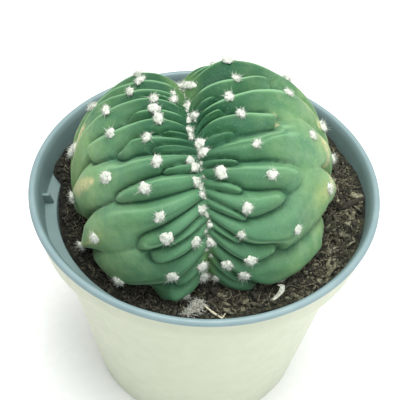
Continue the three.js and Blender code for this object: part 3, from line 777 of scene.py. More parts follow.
right_ribs = back_ribs(1, -2, {25: 0, 52: -2.8}) + [
    long_rib({0: -28, 22: -28, 45: -27, 58: -23, 75: -21, 90: -20}, [22, 50], wide=7, low=-2.5),
    finger(44, {0: -9, 7: -14, 24: -14, 40: -21, 60: -19, 70: -16, 90: -15},
           [24], wide=5, blunt=True, fade=0.3),
    short(16, {0: -2, 6: -6, 14: -6, 24: -9, 46: -15, 60: -15, 70: -11, 90: -10}),
    long_rib({0: 5, 6: 1, 18: -1, 32: -6, 48: -10, 60: -11, 70: -5, 90: -3},
             [18, 48, 69], wide=7, low=-0.5),
    short(18, {0: 12, 5: 6, 11: 4, 17: 4, 37: 0, 48: -4, 60: -6, 70: -1, 90: 1}),
    finger(39, {0: 19, 7: 11, 20: 9, 37: 7, 50: 4, 60: 2, 72: 2, 90: 4}, [21], wide=5.2, blunt=True),
    long_rib({0: 29, 10: 27, 24: 23, 34: 18, 50: 12, 72: 7, 90: 7}, [24, 54, 78], wide=7.5),
    finger(42, {0: 38, 8: 37, 28: 34, 43: 30, 60: 22, 72: 16, 90: 14}, [8, 28], wide=5.4),
    finger(33.5, {0: 48, 16: 49, 33: 41, 50: 33, 63: 27, 72: 21, 90: 20}, [16], wide=5),
    long_rib({0: 58, 13: 60, 30: 57, 38: 52, 50: 39, 63: 30, 72: 25, 90: 24},
             [13, 38, 63], wide=8, low={0: -0.5, 36: -0.5, 46: 2, 54: 2.6, 62: 1.2, 80: 0}),
    finger(31, {0: 67, 17: 70, 30: 63, 50: 55, 64: 47, 90: 42}, [17], fade=0.1),
    long_rib({0: 75, 12: 79, 35: 80, 50: 75, 63: 64, 80: 52, 90: 50},
             [15, 34, 63], wide=9, low={15: 0, 30: -3, 40: -4.5, 50: -3, 56: -2.5, 62: 0.5, 80: 3}),
    long_rib({0: 90, 17: 92, 35: 97, 60: 98, 90: 90}, [17], wide=8, low=-1),
]
left_short_ribs = [
    short(23, {0: -8, 10: -9, 24: -12}, [8]),
    short(18, {0: 16, 7: 15, 18: 13}),
    short(24, {0: 25, 11: 22, 24: 20}),
    short(20, {0: 34, 12: 32, 21: 31}),
    short(20, {0: 60, 14: 60, 22: 60}),
    short(16, {0: 82, 10: 83, 18: 83}),
]
right_short_ribs = [
    short(18, {0: 25, 6: 20, 13: 18, 18: 17}),
    short(17, {0: 34, 6: 32, 17: 31}),
    short(16, {0: 44, 8: 43, 16: 43}),
    short(17, {0: 53, 8: 53, 17: 54}),
    short(16, {0: 82, 8: 85, 17: 86}),
    short(14, {0: 63, 8: 64, 15: 65}),
]
# Side is -1 for the left side of the plant, and 1 for the right.
all_ribs = {-1: left_ribs + left_short_ribs, 1: right_ribs + right_short_ribs}


def crest_angle(places, arc):
    """A rib's angle about the plant's middle at an arc out from the crest line, by a smooth curve."""
    arcs, angles = np.transpose(np.array(list(places.items()), float))
    slopes = np.gradient(angles, arcs)
    slopes[1:-1] = (angles[2:] - angles[:-2]) / (arcs[2:] - arcs[:-2])
    arc = np.clip(arc, arcs[0], arcs[-1])
    step = np.clip(np.searchsorted(arcs, arc, side="right") - 1, 0, len(arcs) - 2)
    span = arcs[step + 1] - arcs[step]
    t = (arc - arcs[step]) / span
    leave = slopes[step] * span * t * (1 - t) ** 2
    arrive = slopes[step + 1] * span * t * t * (1 - t)
    return angles[step] + (angles[step + 1] - angles[step]) * smooth(t, 0, 1) + leave - arrive


def whole_arc(angle):
    """The arc from the crest line down to the low pole of one side."""
    return np.degrees(np.arccos(-np.sin(pole_dip) * np.cos(np.radians(angle))))


def outward(side, angle, arc):
    """Straight out from the plant's middle."""
    turn = np.radians(angle)
    crest = np.stack([0 * turn, -np.sin(turn), np.cos(turn)], -1)
    pole = np.array([side * np.cos(pole_dip), 0, -np.sin(pole_dip)])
    whole = np.radians(whole_arc(angle))[..., None]
    square = (pole - crest * np.cos(whole)) / np.sin(whole)
    out = np.radians(arc)[..., None]
    return crest * np.cos(out) + square * np.sin(out)


def dome_radius(way):
    """The plain dome that the rib crests touch."""
    across = np.abs(way[..., 0]) / np.where(way[..., 0] < 0, dome_left, dome_right)
    along = np.abs(way[..., 1]) / np.where(way[..., 1] < 0, dome_front, dome_back)
    up = np.abs(way[..., 2]) / np.where(way[..., 2] < 0, dome_below, dome_height)
    return (across**dome_squareness + along**dome_squareness + up**dome_squareness) ** (-1 / dome_squareness)


def rib_ratio(rib, arc, angle, aside, per_arc):
    """How far aside of a rib's crest a place is, in half widths of the rib, or how far past its nose."""
    opened = smooth(arc, *opening_arcs)
    wide = rib["wide"] * MM
    lean = most_lean * (1 - 2 * smooth(angle, *lean_angles))
    lean = np.where(aside > 0, 1 + lean, 1 - lean)
    if rib["nose"]:
        half_width = min(crest_width, wide) + (wide - min(crest_width, wide)) * opened
        taper = blunt_taper if rib["blunt"] else nose_taper
        half_width = half_width * (1 - taper * smooth(arc, rib["reach"] - taper_arc, rib["reach"]))
        beyond = np.maximum((arc - rib["reach"]) * per_arc + rib["nose"], 0) / rib["nose"]
        beyond = beyond ** (blunt_power if rib["blunt"] else nose_power)
    else:
        half_width = crest_width + (long_width - crest_width) * opened
        half_width = half_width + (wide - long_width) * smooth(arc, *spreading_arcs)
        beyond = 0
    return np.hypot(aside / half_width / lean, beyond)


def lit_edge(angle, arc, crease, behind):
    """How near a place is to a rib's painted edge highlight: its top at the back, and its front side
    elsewhere.
    """
    side_edge = smooth(crease, 0.15, 0.45) * (1 - smooth(crease, 0.5, 0.75))
    top_edge = 1 - smooth(crease, 0.05, 0.24)
    back_edge = np.maximum(0.85 * side_edge * smooth(angle, -15, 10), top_edge * (1 - smooth(angle, 5, 45)))
    back_edge = back_edge * (1 - smooth(angle, 35, 65)) * (1 - 0.8 * smooth(arc, 44, 62))
    front_edge = np.maximum(top_edge * (1 - smooth(angle, 0, 45)), side_edge * smooth(angle, 30, 65))
    return np.where(behind > 0, back_edge, front_edge) * smooth(arc, 3, 9)


def skin(side, angle, arc):
    """The plant's surface, how near a crease and a painted edge highlight each place is, and how young its
    skin.
    """
    way = outward(side, angle, arc)
    radius = dome_radius(way)
    per_arc = np.radians(radius)
    whole = whole_arc(angle)
    per_degree = per_arc * np.sin(np.radians(whole - arc)) / np.sin(np.radians(whole))
    nearest, second = 0 * radius + 9, 0 * radius + 10
    low, full, fingers, behind = 0 * radius, 0 * radius, 0 * radius, 0 * radius
    for rib in all_ribs[side]:
        aside = (angle - crest_angle(rib["places"], arc)) * per_degree
        ratio = rib_ratio(rib, arc, angle, aside, per_arc)
        if rib["nose"] == finger_nose:
            near = np.exp(-((aside / (fill_width * rib["wide"] * MM)) ** 2))
            full = full + rib["fade"] * near * smooth(arc - rib["reach"], *fill_arcs)
            fingers = fingers + near
        low_here = np.interp(arc, list(rib["low"]), list(rib["low"].values()))
        low = np.where(ratio < nearest, low_here * MM, low)
        behind = np.where(ratio < nearest, aside < 0, behind)
        second = np.minimum(np.maximum(nearest, ratio), second)
        nearest = np.minimum(nearest, ratio)
    full = np.minimum(full / np.maximum(fingers, 1), 1) * (1 - smooth(arc, *fill_ends))
    crease = 2 * nearest / (nearest + second + 1e-9)
    plumpness = top_plumpness + (flank_plumpness - top_plumpness) * smooth(arc, *flank_arcs)
    plump = 1 - (1 - np.minimum(crease, 0.985) ** plumpness) ** (1 / plumpness)
    sharp = np.hypot(crease, ridge_rounding) - ridge_rounding
    sharp = sharp / (math.hypot(1, ridge_rounding) - ridge_rounding)
    ridge = front_ridge + (back_ridge - front_ridge) * (1 - smooth(angle, -5, 35))
    ridge = ridge + (flank_ridge - ridge) * smooth(arc, 30, 65)
    furrow = np.interp(arc, furrow_arcs, furrow_depths)
    relief = furrow * (plump * (1 - ridge) + ridge * sharp) * (1 - nose_fill * full)
    relief = relief + low * (1 - crease**2) * smooth(arc, 3, 24)
    height = way[..., 2] * radius + dome_centre[2]
    ground = skin_ground + radius * (way[..., 0] * soil_tilt + way[..., 1] * soil_slope)
    relief = np.where(relief < 0, relief * smooth(height - ground, bulge_starts, bulge_whole), relief)
    groove = crest_groove * np.maximum(1 - per_arc * arc / groove_reach, 0) ** 2
    shown = smooth(height, skin_ground - plain_below, ground)
    sunk = (relief * smooth(arc, -4, 7) + groove) * shown
    x, y, z = np.moveaxis(way * (radius - sunk)[..., None], -1, 0)
    c, s = math.cos(dome_turn), math.sin(dome_turn)
    point = np.stack([x * c - y * s, x * s + y * c, z], -1) + dome_centre
    young = (1 - smooth(angle, -40, 5)) * (1 - smooth(arc, 4, 12))
    young = young + smooth(angle, 68, 82) * (1 - smooth(arc, 1, 6))
    return point, crease * (1 - 0.4 * full), lit_edge(angle, arc, crease, behind) * (1 - full), young


def row_angles(ribs, rows, arc):
    """The angles of the skin's rows, which follow the rib crests and go round below the plant at the end."""
    guides = [crest_angle(rib["places"], arc) for rib in ribs]
    guides = np.stack(guides + [crest_angle(ribs[0]["places"], arc) + 360])
    low = np.broadcast_to(np.floor(rows).astype(int)[:, None], arc.shape)
    part = (rows - np.floor(rows))[:, None]
    below = np.take_along_axis(guides, low[None], 0)[0]
    above = np.take_along_axis(guides, low[None] + 1, 0)[0]
    return below * (1 - part) + above * part


rib_rows = 17
buried_rows = 30
skin_columns = 124
rib_count = len(left_ribs)
skin_rows = np.arange((rib_count - 1) * rib_rows) / rib_rows
skin_rows += 0.06 * np.sin(skin_rows * 2 * np.pi)
skin_rows = np.concatenate([skin_rows, rib_count - 1 + np.arange(buried_rows) / buried_rows])
row_count = len(skin_rows)
crest_start = np.zeros((row_count, 1))
crest_level = sum(row_angles(ribs, skin_rows, crest_start) for ribs in (left_ribs, right_ribs)) / 2
crest_looks = skin(1, crest_level, crest_start)
skin_parts = [[look[:, 0] for look in crest_looks] + [np.zeros(row_count)]]
skin_faces = []
skin_count = row_count
for side, ribs in ((-1, left_ribs), (1, right_ribs)):
    shares = (np.arange(1, skin_columns) / skin_columns)[None] ** 1.1
    straight = shares * whole_arc(row_angles(ribs, skin_rows, np.full((row_count, 1), 90.0)))
    opened = smooth(straight, 0, 5)
    angles = crest_level * (1 - opened) + row_angles(ribs, skin_rows, straight) * opened
    points, *looks = skin(side, angles, shares * whole_arc(angles))
    skin_parts.append([points.reshape(-1, 3)] + [look.ravel() for look in looks + [shares + 0 * angles]])
    skin_parts.append([*skin(side, np.zeros(1), whole_arc(np.zeros(1)) - 0.01), np.ones(1)])
    numbers = np.arange(row_count * (skin_columns - 1)).reshape(row_count, -1) + skin_count
    numbers = np.concatenate([np.arange(row_count)[:, None], numbers], 1)
    beside = np.roll(numbers, -1, axis=0)
    quads = [numbers[:, :-1], beside[:, :-1], beside[:, 1:], numbers[:, 1:]]
    pole_number = skin_count + row_count * (skin_columns - 1)
    tips = [numbers[:, -1], beside[:, -1], np.full(row_count, pole_number)]
    if side < 0:
        quads.reverse()
        tips.reverse()
    skin_faces += np.stack([q.ravel() for q in quads], 1).tolist() + np.stack(tips, 1).tolist()
    skin_count = pole_number + 1
skin_points, *skin_values = [np.concatenate(looks) for looks in zip(*skin_parts)]

uneven_size, uneven_height = 7 * MM, 0.22 * MM
away = skin_points - dome_centre
away /= np.linalg.norm(away, axis=1, keepdims=True)
skin_points = skin_points + away * noise_at(skin_points, uneven_size) * uneven_height

# Each corky spot is [side, angle, arc, radius], the radius in millimetres.
cork_spots = [
    [1, 4, 39, 1.95], [1, 9, 39.5, 1.8], [1, 9, 62, 2.4], [1, 11, 64, 3], [1, 12.5, 67, 3.3],
    [1, 15, 70, 3.9], [1, 17, 74, 3.9], [1, 22, 66, 2.25], [1, 25, 67, 2.55], [1, 28, 68, 2.55],
    [1, 28, 84, 3.75], [1, -4, 66, 2.4], [-1, 20, 54, 2.25], [-1, 19, 58, 3], [-1, 17.5, 63, 3.3],
    [-1, 15, 69, 3.6], [-1, 12, 75, 3.6], [-1, -21.5, 58, 2.25], [-1, -21, 61, 2.85],
    [-1, -20, 65, 2.7], [-1, 49, 72, 3],
]
skin_cork = np.zeros(len(skin_points))
for side, angle, arc, radius in cork_spots:
    spot = skin(side, np.array([float(angle)]), np.array([float(arc)]))[0][0]
    skin_cork = np.maximum(skin_cork, 1 - np.linalg.norm(skin_points - spot, axis=1) / (radius * MM))
skin_forward = 0.5 - skin_points[:, 1] / (100 * MM)
skin_look = new_material("waxy_green_skin", 0.5)
plant = new_object("crested_stem", skin_points, skin_faces, skin_look)
value_names = ("crease", "edge", "young", "down", "cork", "forward")
skin_value = {}
for name, values in zip(value_names, (*skin_values, skin_cork, skin_forward)):
    set_attribute(plant, name, values)
    skin_value[name] = get_attribute(skin_look, name)


def skin_share(name, *stops):
    """A share that follows one of the skin's values."""
    return add_ramp(skin_look, skin_value[name], *stops)


def skin_blotches(size, detail, roughness, *stops):
    """A share or a tint in blotches all over the skin."""
    return add_ramp(skin_look, add_noise(skin_look, size * MM, detail, roughness), *stops)


near_top = skin_share(
    "down",
    (0.0, (0.01, 0.075, 0.032)),
    (0.2, (0.034, 0.118, 0.056)),
    (0.42, (0.108, 0.232, 0.112)),
    (0.7, (0.172, 0.295, 0.12)),
)
tints = skin_blotches(11, 4, 0.6, (0.35, (0.75, 0.85, 0.95)), (0.65, (1.15, 1.1, 0.95)))
skin_colour = add_mix(skin_look, 1.0, near_top, tints, "MULTIPLY")
# Painted shade: the ribs at the back are darkened.
painted_back_shade = skin_share("forward", (0.22, 0.9), (0.58, 0.0))
skin_colour = add_mix(skin_look, painted_back_shade, skin_colour, (0.48, 0.64, 0.56), "MULTIPLY")
cork_near = skin_share("cork", (0.0, 0.0), (0.6, 1.0))
cork_mottle = skin_blotches(1.3, 5, 0.75, (0.42, 0.0), (0.6, 1.0))
cork_mottled = add_mix(skin_look, 1.0, cork_near, cork_mottle, "MULTIPLY")
# Painted light on the rib tops in front, painted shade in the creases and painted highlights on rib edges.
skin_layers = {
    "painted light on rib tops in front": [
        (0.1, 0.235, 0.125),
        skin_share("forward", (0.6, 0.0), (0.8, 0.6)),
        skin_share("down", (0.1, 1.0), (0.42, 0.0)),
    ],
    "painted shade in creases": [(0.012, 0.07, 0.035), skin_share("crease", (0.8, 0.0), (0.96, 0.85))],
    "young green": [(0.12, 0.23, 0.07), skin_share("young", (0.0, 0.0), (1.0, 0.6))],
    "painted edge highlights": [(0.2, 0.39, 0.21), skin_share("edge", (0.0, 0.0), (0.5, 0.15), (1.0, 0.82))],
    "waxy bloom": [
        (0.34, 0.45, 0.25),
        skin_blotches(5, 5, 0.65, (0.4, 0.0), (0.66, 0.32)),
        skin_share("down", (0.2, 0.0), (0.5, 1.0)),
    ],
    "freckles": [(0.3, 0.48, 0.29), skin_blotches(0.6, 3, 0.6, (0.55, 0.0), (0.8, 0.22))],
    "yellow ridges": [
        (0.47, 0.45, 0.17),
        skin_share("down", (0.44, 0.0), (0.56, 1.0), (0.68, 0.4)),
        skin_share("crease", (0.0, 1.0), (0.1, 0.45), (0.35, 0.0)),
        skin_blotches(3, 4, 0.7, (0.35, 0.3), (0.6, 1.0)),
    ],
    "cork": [(0.55, 0.49, 0.26), add_mix(skin_look, 0.8, cork_near, cork_mottled)],
}
for over, *layer_shares in skin_layers.values():
    skin_colour = covered(skin_look, skin_colour, over, *layer_shares)
paint(skin_look, skin_colour)
paint(skin_look, skin_blotches(4, 4, 0.6, (0.3, 0.55), (0.7, 0.7)), "Roughness")
shader(skin_look).inputs["Specular IOR Level"].default_value = 0.2
shader(skin_look).inputs["Sheen Weight"].default_value = 0.2
shader(skin_look).inputs["Sheen Roughness"].default_value = 0.35
shader(skin_look).inputs["Sheen Tint"].default_value = (0.7, 0.95, 0.72, 1)
shader(skin_look).inputs["Subsurface Weight"].default_value = 0.12
shader(skin_look).inputs["Subsurface Radius"].default_value = (0.002, 0.004, 0.0015)
shader(skin_look).inputs["Subsurface Scale"].default_value = 0.6
coarse_bump = add_bump(skin_look, add_noise(skin_look, 2.2 * MM, 3, 0.6), 0.12 * MM)
add_bump(skin_look, add_noise(skin_look, 0.45 * MM, 3, 0.6), 0.03 * MM, coarse_bump)
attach(plant, "root")
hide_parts("crested_cactus")


# Each areole, the cushion that the spines grow from, is a tuft of dense white wool: a lumpy cushion with
# loose hairs all over it. Bigger tufts run together along the crest line, where the plant grows.
def skin_frame(side, angle, arc):
    """A place on the skin and the direction that it faces."""
    angles, arcs = np.array([0, 1, 0]) + angle, np.array([0, 0, 1]) + arc
    point, ahead, out = skin(side, angles.astype(float), arcs.astype(float))[0]
    facing = np.cross(ahead - point, out - point)
    away = point - dome_centre
    facing *= np.sign(facing @ away)
    facing = facing / np.linalg.norm(facing) + away / np.linalg.norm(away)
    return point, facing / np.linalg.norm(facing)


# Each crest tuft is [side, angle, arc, radius], the radius in millimetres.
crest_tufts = [
    [1, -37, 1, 1.8], [1, -33, 4, 1.7], [1, -26, 5, 1.9], [-1, -20, 7, 0.9], [-1, -11, 1, 1.8],
    [1, -1, 3, 2], [-1, 3, 2, 1.1], [-1, 11, 3, 1.1], [-1, 16, 3, 1.1], [1, 21, 2, 2.3], [1, 26, 3, 2.4],
    [-1, 30, 6, 1.5], [-1, 34, 4, 1.4], [-1, 41, 4, 1.5], [-1, 44, 3, 1.3], [-1, 48, 2, 1.1],
    [-1, 54, 3, 1.5], [1, 59, 0, 1], [1, 63, 1, 0.9], [1, 71, 2, 1.7], [-1, 82, 4, 2], [1, 78, 8, 1.8],
    [-1, 91, 3, 2.1], [1, 92, 4, 1.4], [-1, -50, 1, 1.6], [1, -64, 2, 1.7], [-1, -79, 1, 1.6],
    [1, -95, 2, 1.7],
]
tuft_draw = np.random.default_rng(21)
tuft_radius = 2.2 * MM
crest_tuft_swell = 1.25
small_tuft_angles = np.arange(-86, 96, 3.6)
tufts = []
for side, ribs in all_ribs.items():
    for rib in ribs:
        for arc in rib["tufts"]:
            point, facing = skin_frame(side, float(crest_angle(rib["places"], float(arc))), arc)
            tufts.append((point, facing, tuft_radius * tuft_draw.uniform(0.85, 1.15), True))
for side, angle, arc, radius in crest_tufts:
    tufts.append((*skin_frame(side, angle, arc), crest_tuft_swell * radius * MM, False))
for angle in small_tuft_angles:
    side = tuft_draw.choice([-1, 1])
    place = skin_frame(side, angle, tuft_draw.uniform(0, 2))
    tufts.append((*place, tuft_draw.uniform(0.5, 0.95) * MM, False))
buried = 0.5 * MM
tufts = [tuft for tuft in tufts if tuft[0] @ [-soil_tilt, -soil_slope, 1] > soil_level - buried]


def stand_turn(facing, spin):
    """The rotation that stands something up along a direction, after a spin."""
    return np.array(Vector(facing).to_track_quat("Z", "Y").to_matrix() @ Matrix.Rotation(spin, 3, "Z"))


def hair_paths(roots, lengths, ways, curls, steps):
    """Paths of hairs, each from its root along its way and away to the side that it curls to."""
    shares = np.linspace(0, 1, steps)[:, None]
    return roots[:, None] + lengths[:, None, None] * (ways[:, None] * shares + curls[:, None] * shares**2)


def hair_taper(steps):
    """The share of a hair's radius that is left at each step."""
    return 1.1 - np.linspace(0, 1, steps) ** 2


wool_look = new_material("white_wool", 0.95)
wool_grain = add_noise(wool_look, 0.5 * MM, 4, 0.7)
wool_colour = add_ramp(wool_look, wool_grain, (0.34, (0.42, 0.45, 0.38)), (0.6, (0.74, 0.77, 0.7)))
paint(wool_look, wool_colour)
shader(wool_look).inputs["Sheen Weight"].default_value = 0.3
add_bump(wool_look, add_noise(wool_look, 0.25 * MM, 3, 0.7), 0.1 * MM)

cushion_thickness = 0.5
cushion_lumps = [(1.1 * MM, 0.45), (0.4 * MM, 0.35)]
tuft_places, tuft_facings, tuft_radii = [np.array(values) for values in list(zip(*tufts))[:3]]
tuft_turns = np.array([stand_turn(facing, tuft_draw.uniform(0, 6.28)) for facing in tuft_facings])
cushion_widths = tuft_draw.uniform(0.65, 1.05, (len(tufts), 2))
cushion_sizes = np.column_stack([cushion_widths, np.full(len(tufts), cushion_thickness)])
cushion_sizes *= (tuft_radii * np.where(tuft_radii < 1 * MM, 0.6, 0.92))[:, None]
vertices, faces, copies = scatter(round_shape(3), tuft_places, tuft_turns, cushion_sizes)
for size, share in cushion_lumps:
    vertices = lumpy(vertices, tuft_places[copies], size, share)
cushions = new_object("wool_cushions", vertices, faces, wool_look)
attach(cushions, "root")

hairs_each = (140 * np.minimum(tuft_radii / tuft_radius, 1.4) ** 1.1).astype(int)
hair_steps = 3
hair_sides = 3
hair_root_depth = 0.8
hair_tuft = np.repeat(np.arange(len(tufts)), hairs_each)
hair_count = len(hair_tuft)
hair_turns = tuft_turns[hair_tuft]
hair_ways = tuft_draw.normal(size=(hair_count, 3))
hair_ways[:, 2] = np.abs(hair_ways[:, 2]) * 0.8 + 0.05
hair_ways /= np.linalg.norm(hair_ways, axis=1, keepdims=True)
hair_roots = np.einsum("nij,nj->ni", hair_turns, hair_ways * cushion_sizes[hair_tuft] * hair_root_depth)
hair_out = np.einsum("nij,nj->ni", hair_turns, hair_ways + tuft_draw.normal(0, 0.3, (hair_count, 3)))
hair_length = tuft_draw.uniform(0.3, 0.75, hair_count) * np.clip(tuft_radii[hair_tuft], 1.1 * MM, 1.8 * MM)
hair_curl = tuft_draw.normal(0, 0.35, (hair_count, 3))
wool_paths = hair_paths(tuft_places[hair_tuft] + hair_roots, hair_length, hair_out, hair_curl, hair_steps)
wool_radii = tuft_draw.uniform(0.03, 0.06, hair_count)[:, None] * MM * hair_taper(hair_steps)
at_left = tuft_places[hair_tuft, 0] < np.median(tuft_places[:, 0])
for name, chosen in (("wool_hairs_left", at_left), ("wool_hairs_right", ~at_left)):
    vertices, faces, copies = make_tubes(wool_paths[chosen], wool_radii[chosen], hair_sides)
    hairs = new_object(name, vertices, faces, wool_look)
    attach(hairs, "root")


# Short stiff spines stand out of each tuft in a loose fan, a few from each areole on a rib. They grow with
# the areole, and are bone white with a brown tip.
spine_draw = np.random.default_rng(33)
spine_steps = 5
spine_sides = 5
spine_lengths = (1.6 * MM, 3.4 * MM)
first_spine_longer = 1.5
spine_radius = 0.05 * MM
spine_leans = (0.6, 1.25)
spine_shares = np.linspace(0, 1, spine_steps)
spine_paths = []
for (place, facing, radius, on_rib), turn in zip(tufts, tuft_turns):
    start = spine_draw.uniform(0, 6.28)
    count = spine_draw.integers(2, 5) if on_rib else spine_draw.integers(0, 2)
    for spine in range(count):
        spin = start + spine * 2 * math.pi / count + spine_draw.normal(0, 0.25)
        lean = spine_draw.uniform(*spine_leans)
        way = turn @ [math.sin(lean) * math.cos(spin), math.sin(lean) * math.sin(spin), math.cos(lean)]
        length = spine_draw.uniform(*spine_lengths) * (first_spine_longer if spine == 0 and on_rib else 1)
        curve = spine_draw.normal(0, 0.08, 3)
        spine_paths.append([place + length * (way * along + curve * along**2) for along in spine_shares])
spine_radii = np.tile(spine_radius * (1.02 - spine_shares**1.5), (len(spine_paths), 1))
spine_look = new_material("bone_white_spine", 0.45)
spine_grain = add_noise(spine_look, 0.7 * MM, 3, 0.6)
spine_white = add_ramp(spine_look, spine_grain, (0.3, (0.6, 0.61, 0.52)), (0.65, (0.8, 0.81, 0.73)))
spine_brown = add_ramp(spine_look, get_attribute(spine_look, "tip"), (0.8, 0.0), (1.0, 0.5))
paint(spine_look, covered(spine_look, spine_white, (0.2, 0.11, 0.05), spine_brown))
vertices, faces, copies = make_tubes(spine_paths, spine_radii, spine_sides)
spines = new_object("spines", vertices, faces, spine_look)
set_attribute(spines, "tip", np.tile(np.repeat(spine_shares, spine_sides), len(spine_paths)))
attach(spines, "root")


# A dried flower lies on the soil in front: a bent tube grown over with grey-white wool, with small brown
# scales on it and withered petals at its lower end. It fell off the plant, and nothing holds it.
def smooth_path(places, steps):
    """A smooth path through four places, each [x, y, height above the soil] in millimetres."""
    shares, steps_along = np.linspace(0, 1, len(places)), np.linspace(0, 1, steps)
    columns = [np.polyval(np.polyfit(shares, column, 3), steps_along) for column in np.transpose(places)]
    path = np.stack(columns, 1) * MM
    path[:, 2] += [soil_plain(x, y) for x, y in path[:, :2]]
    return path


def sizes_along(steps, shares, sizes):
    """A radius or half width at each step along a path, from a few in mm at shares of its length."""
    return np.interp(np.linspace(0, 1, steps), shares, sizes) * MM


def curled_strip(path, widths, curl, thickness, twist=0.0):
    """A thin closed strip along a path, curled up at its long edges and twisted: vertices and faces."""
    along = np.gradient(path, axis=0)
    along /= np.linalg.norm(along, axis=1, keepdims=True)
    level = np.cross(along, (0, 0, 1))
    level /= np.linalg.norm(level, axis=1, keepdims=True)
    up = np.cross(level, along)
    turned = np.linspace(0, twist, len(path))[:, None]
    level, up = level * np.cos(turned) + up * np.sin(turned), up * np.cos(turned) - level * np.sin(turned)
    half = [(share, 1) for share in np.linspace(-1, 1, 9)]
    ring = half + [(share, -1) for share, face in reversed(half)]
    vertices = []
    for point, level_way, up_way, width in zip(path, level, up, widths):
        for share, face in ring:
            bend = curl * share
            place = point + (level_way * math.sin(bend) + up_way * (1 - math.cos(bend))) * width / curl
            facing = up_way * math.cos(bend) - level_way * math.sin(bend)
            vertices.append(place + facing * face * thickness * (1 - 0.6 * share**2) / 2)
    count = len(ring)
    faces = []
    for low in range(0, (len(path) - 1) * count, count):
        high = low + count
        faces += [(low + s, high + s, high + (s + 1) % count, low + (s + 1) % count) for s in range(count)]
    end = (len(path) - 1) * count
    for s in range(len(half) - 1):
        faces.append((s, s + 1, count - 2 - s, count - 1 - s))
        faces.append((end + s + 1, end + s, end + count - 1 - s, end + count - 2 - s))
    return np.array(vertices), faces


flower_draw = np.random.default_rng(61)
flower_steps, flower_sides = 30, 28
flower_lumps = [(1.2 * MM, 0.8), (0.45 * MM, 0.45)]
flower_greys = [(0.36, (0.12, 0.1, 0.07)), (0.5, (0.36, 0.34, 0.28)), (0.64, (0.72, 0.72, 0.67))]
flower_run = [[0.5, -48.1, 2.6], [-1, -50.4, 1.9], [-3, -52.1, 1.4], [-5.4, -53.5, 1.1]]
flower_path = smooth_path(flower_run, flower_steps)
flower_radii = sizes_along(flower_steps, [0, 0.05, 0.3, 0.6, 0.95, 1], [0.4, 1.3, 1.5, 0.95, 0.6, 0.2])
vertices, faces, copies = make_tubes([flower_path], [flower_radii], flower_sides)
middles = np.repeat(flower_path, flower_sides, axis=0)
for size, share in flower_lumps:
    vertices = lumpy(vertices, middles, size, share)
flower_look = grained_look("dried_flower_wool", 0.95, 0.6 * MM, flower_greys, 0.25 * MM, roughness=0.7)
flower = new_object("dried_flower_tube", vertices, faces, flower_look)
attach(flower, "root")
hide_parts("dried_flower")

flower_hair_count = 620
flower_hair_steps = 4
hair_at = flower_draw.integers(0, len(vertices), flower_hair_count)
hair_away = vertices[hair_at] - middles[hair_at]
hair_away /= np.linalg.norm(hair_away, axis=1, keepdims=True)
hair_away = hair_away + flower_draw.normal(0, 0.45, hair_away.shape)
hair_away[:, 2] = np.abs(hair_away[:, 2])
hair_curl = flower_draw.normal(0, 0.4, hair_away.shape)
hair_length = flower_draw.uniform(0.4, 1.2, flower_hair_count) * MM
paths = hair_paths(vertices[hair_at], hair_length, hair_away, hair_curl, flower_hair_steps)
radii = flower_draw.uniform(0.05, 0.085, flower_hair_count)[:, None] * MM * hair_taper(flower_hair_steps)
vertices, faces, copies = make_tubes(paths, radii, hair_sides)
flower_hairs = new_object("dried_flower_hairs", held_inside(vertices), faces, wool_look)
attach(flower_hairs, "root")

withered_steps = 12
withered_start = np.array([-3.6, -52.6, 1.2])
withered_ends = [
    [-6.6, -53.6, 0.9], [-6, -54.6, 0.8], [-1.2, -54.2, 1], [-2.3, -54.7, 0.7], [0.2, -53.3, 0.9],
]
withered_rise = np.array([0, 0, 0.5])
withered_widths = sizes_along(withered_steps, [0, 0.6, 1], [0.3, 0.85, 0.25])
withered_curl, withered_thickness = 1.3, 0.16 * MM
withered_greys = [(0.35, (0.09, 0.085, 0.07)), (0.65, (0.4, 0.4, 0.36))]
withered_look = grained_look("withered_petal", 0.8, 0.7 * MM, withered_greys, 0.15 * MM)
vertices, faces = [], []
for end in np.array(withered_ends):
    start = withered_start + flower_draw.normal(0, 0.2, 3)
    nearer, farther = start * 0.65 + end * 0.35 + withered_rise, start * 0.3 + end * 0.7 + withered_rise
    path = smooth_path([start, nearer, farther, end], withered_steps)
    twist = flower_draw.normal(0, 0.6)
    strip = curled_strip(path, withered_widths, withered_curl, withered_thickness, twist)
    faces += [tuple(number + len(vertices) for number in face) for face in strip[1]]
    vertices += list(strip[0])
withered = new_object("withered_petals", vertices, faces, withered_look)
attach(withered, "root")

scale_count = 9
scale_out = 0.9
scale_browns = [(0.35, (0.06, 0.035, 0.02)), (0.65, (0.22, 0.13, 0.07))]
scale_at = flower_draw.integers(6, 28, scale_count)
scale_aside = flower_draw.uniform(-0.8, 0.8, scale_count) * MM
scale_along = flower_draw.uniform(-0.8, 0.5, scale_count) * MM
scale_places = np.column_stack([scale_aside, scale_along, scale_out * flower_radii[scale_at]])
scale_places = flower_path[scale_at] + scale_places
scale_sizes = flower_draw.uniform((0.3, 0.18, 0.05), (0.6, 0.35, 0.08), (scale_count, 3)) * MM
scale_turns = random_turns(scale_count, flower_draw)
vertices, faces, copies = scatter(round_shape(2), scale_places, scale_turns, scale_sizes)
scale_look = grained_look("brown_scale", 0.7, 0.4 * MM, scale_browns, 0.05 * MM)
scales = new_object("flower_scales", vertices, faces, scale_look)
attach(scales, "root")


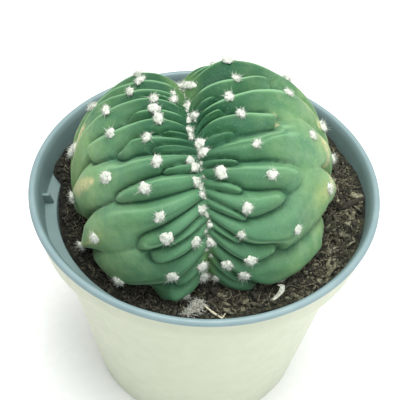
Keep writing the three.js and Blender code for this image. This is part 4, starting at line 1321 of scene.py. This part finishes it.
# A pale dry stalk of straw lies beside the flower, with a thinner side stalk that forks back from its end.
# It is round, dried out, bent a little and ribbed along its length.
straw_steps, straw_sides, straw_ribs = 30, 18, 6
straw_parts = [
    {
        "name": "dry_straw_stalk",
        "places": [[1, -48.9, 1.9], [3.5, -50.8, 1.5], [5.7, -52.6, 1.4], [8.1, -54.3, 1.4]],
        "radii": (0.3, 0.42, 0.36),
    },
    {
        "name": "dry_straw_side_stalk",
        "places": [[8, -54.2, 1.4], [8.7, -53.1, 1.8], [9.3, -52, 1.9], [10.1, -50.9, 1.5]],
        "radii": (0.2, 0.25, 0.1),
    },
]
straw_yellows = [(0.34, (0.3, 0.25, 0.15)), (0.5, (0.6, 0.55, 0.41)), (0.66, (0.78, 0.75, 0.62))]
straw_look = grained_look(
    "dry_straw", 0.6, 0.5 * MM, straw_yellows, 0.08 * MM, roughness=0.65, stretch=(1, 1, 2.5)
)
for part in straw_parts:
    path = smooth_path(part["places"], straw_steps)
    path[:, 2] += 0.12 * MM * np.sin(np.linspace(0, 9, straw_steps))
    radii = sizes_along(straw_steps, [0, 0.5, 1], part["radii"])
    radii = radii[None] * (1 + 0.1 * np.sin(np.linspace(0, 14, straw_steps)))
    vertices, faces, copies = make_tubes([path], radii, straw_sides)
    ribbing = 1 + 0.1 * np.cos(full_circle(straw_sides) * straw_ribs)
    middles = np.repeat(path, straw_sides, axis=0)
    vertices = middles + (vertices - middles) * np.tile(ribbing, straw_steps)[:, None]
    stalk = new_object(part["name"], vertices, faces, straw_look)
    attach(stalk, "root")
    if part["name"] == "dry_straw_stalk":
        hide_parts("dry_straw")


# A dry petal, thin and bleached, lies on the soil at the front right. Its edges curled up and its middle
# waved as it dried.
petal_steps = 36
petal_run = [[26.6, -41.2, 2.2], [28.1, -43.3, 2.5], [26.3, -45.6, 1.6], [24, -47.4, 1.2]]
petal_widths = sizes_along(petal_steps, [0, 0.12, 0.35, 0.6, 0.9, 1], [0.3, 0.9, 1.2, 0.8, 0.45, 0.15])
petal_curl, petal_thickness, petal_twist = 1.25, 0.2 * MM, 0.5
petal_wave = 1.3 * MM
petal_whites = [(0.3, (0.3, 0.3, 0.23)), (0.5, (0.46, 0.48, 0.41)), (0.7, (0.6, 0.62, 0.56))]
petal_path = smooth_path(petal_run, petal_steps)
vertices, faces = curled_strip(petal_path, petal_widths, petal_curl, petal_thickness, petal_twist)
vertices = vertices + noise_at(vertices, petal_wave) * [0.1 * MM, 0.1 * MM, 0.35 * MM]
petal_look = grained_look(
    "bleached_petal", 0.5, 0.6 * MM, petal_whites, 0.05 * MM, roughness=0.5, stretch=(1.6, 0.6, 1)
)
shader(petal_look).inputs["Subsurface Weight"].default_value = 0.5
shader(petal_look).inputs["Subsurface Radius"].default_value = (0.001, 0.001, 0.0008)
shader(petal_look).inputs["Subsurface Scale"].default_value = 0.5
petal = new_object("bleached_petal", vertices, faces, petal_look)
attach(petal, "root")
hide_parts("dried_petal")
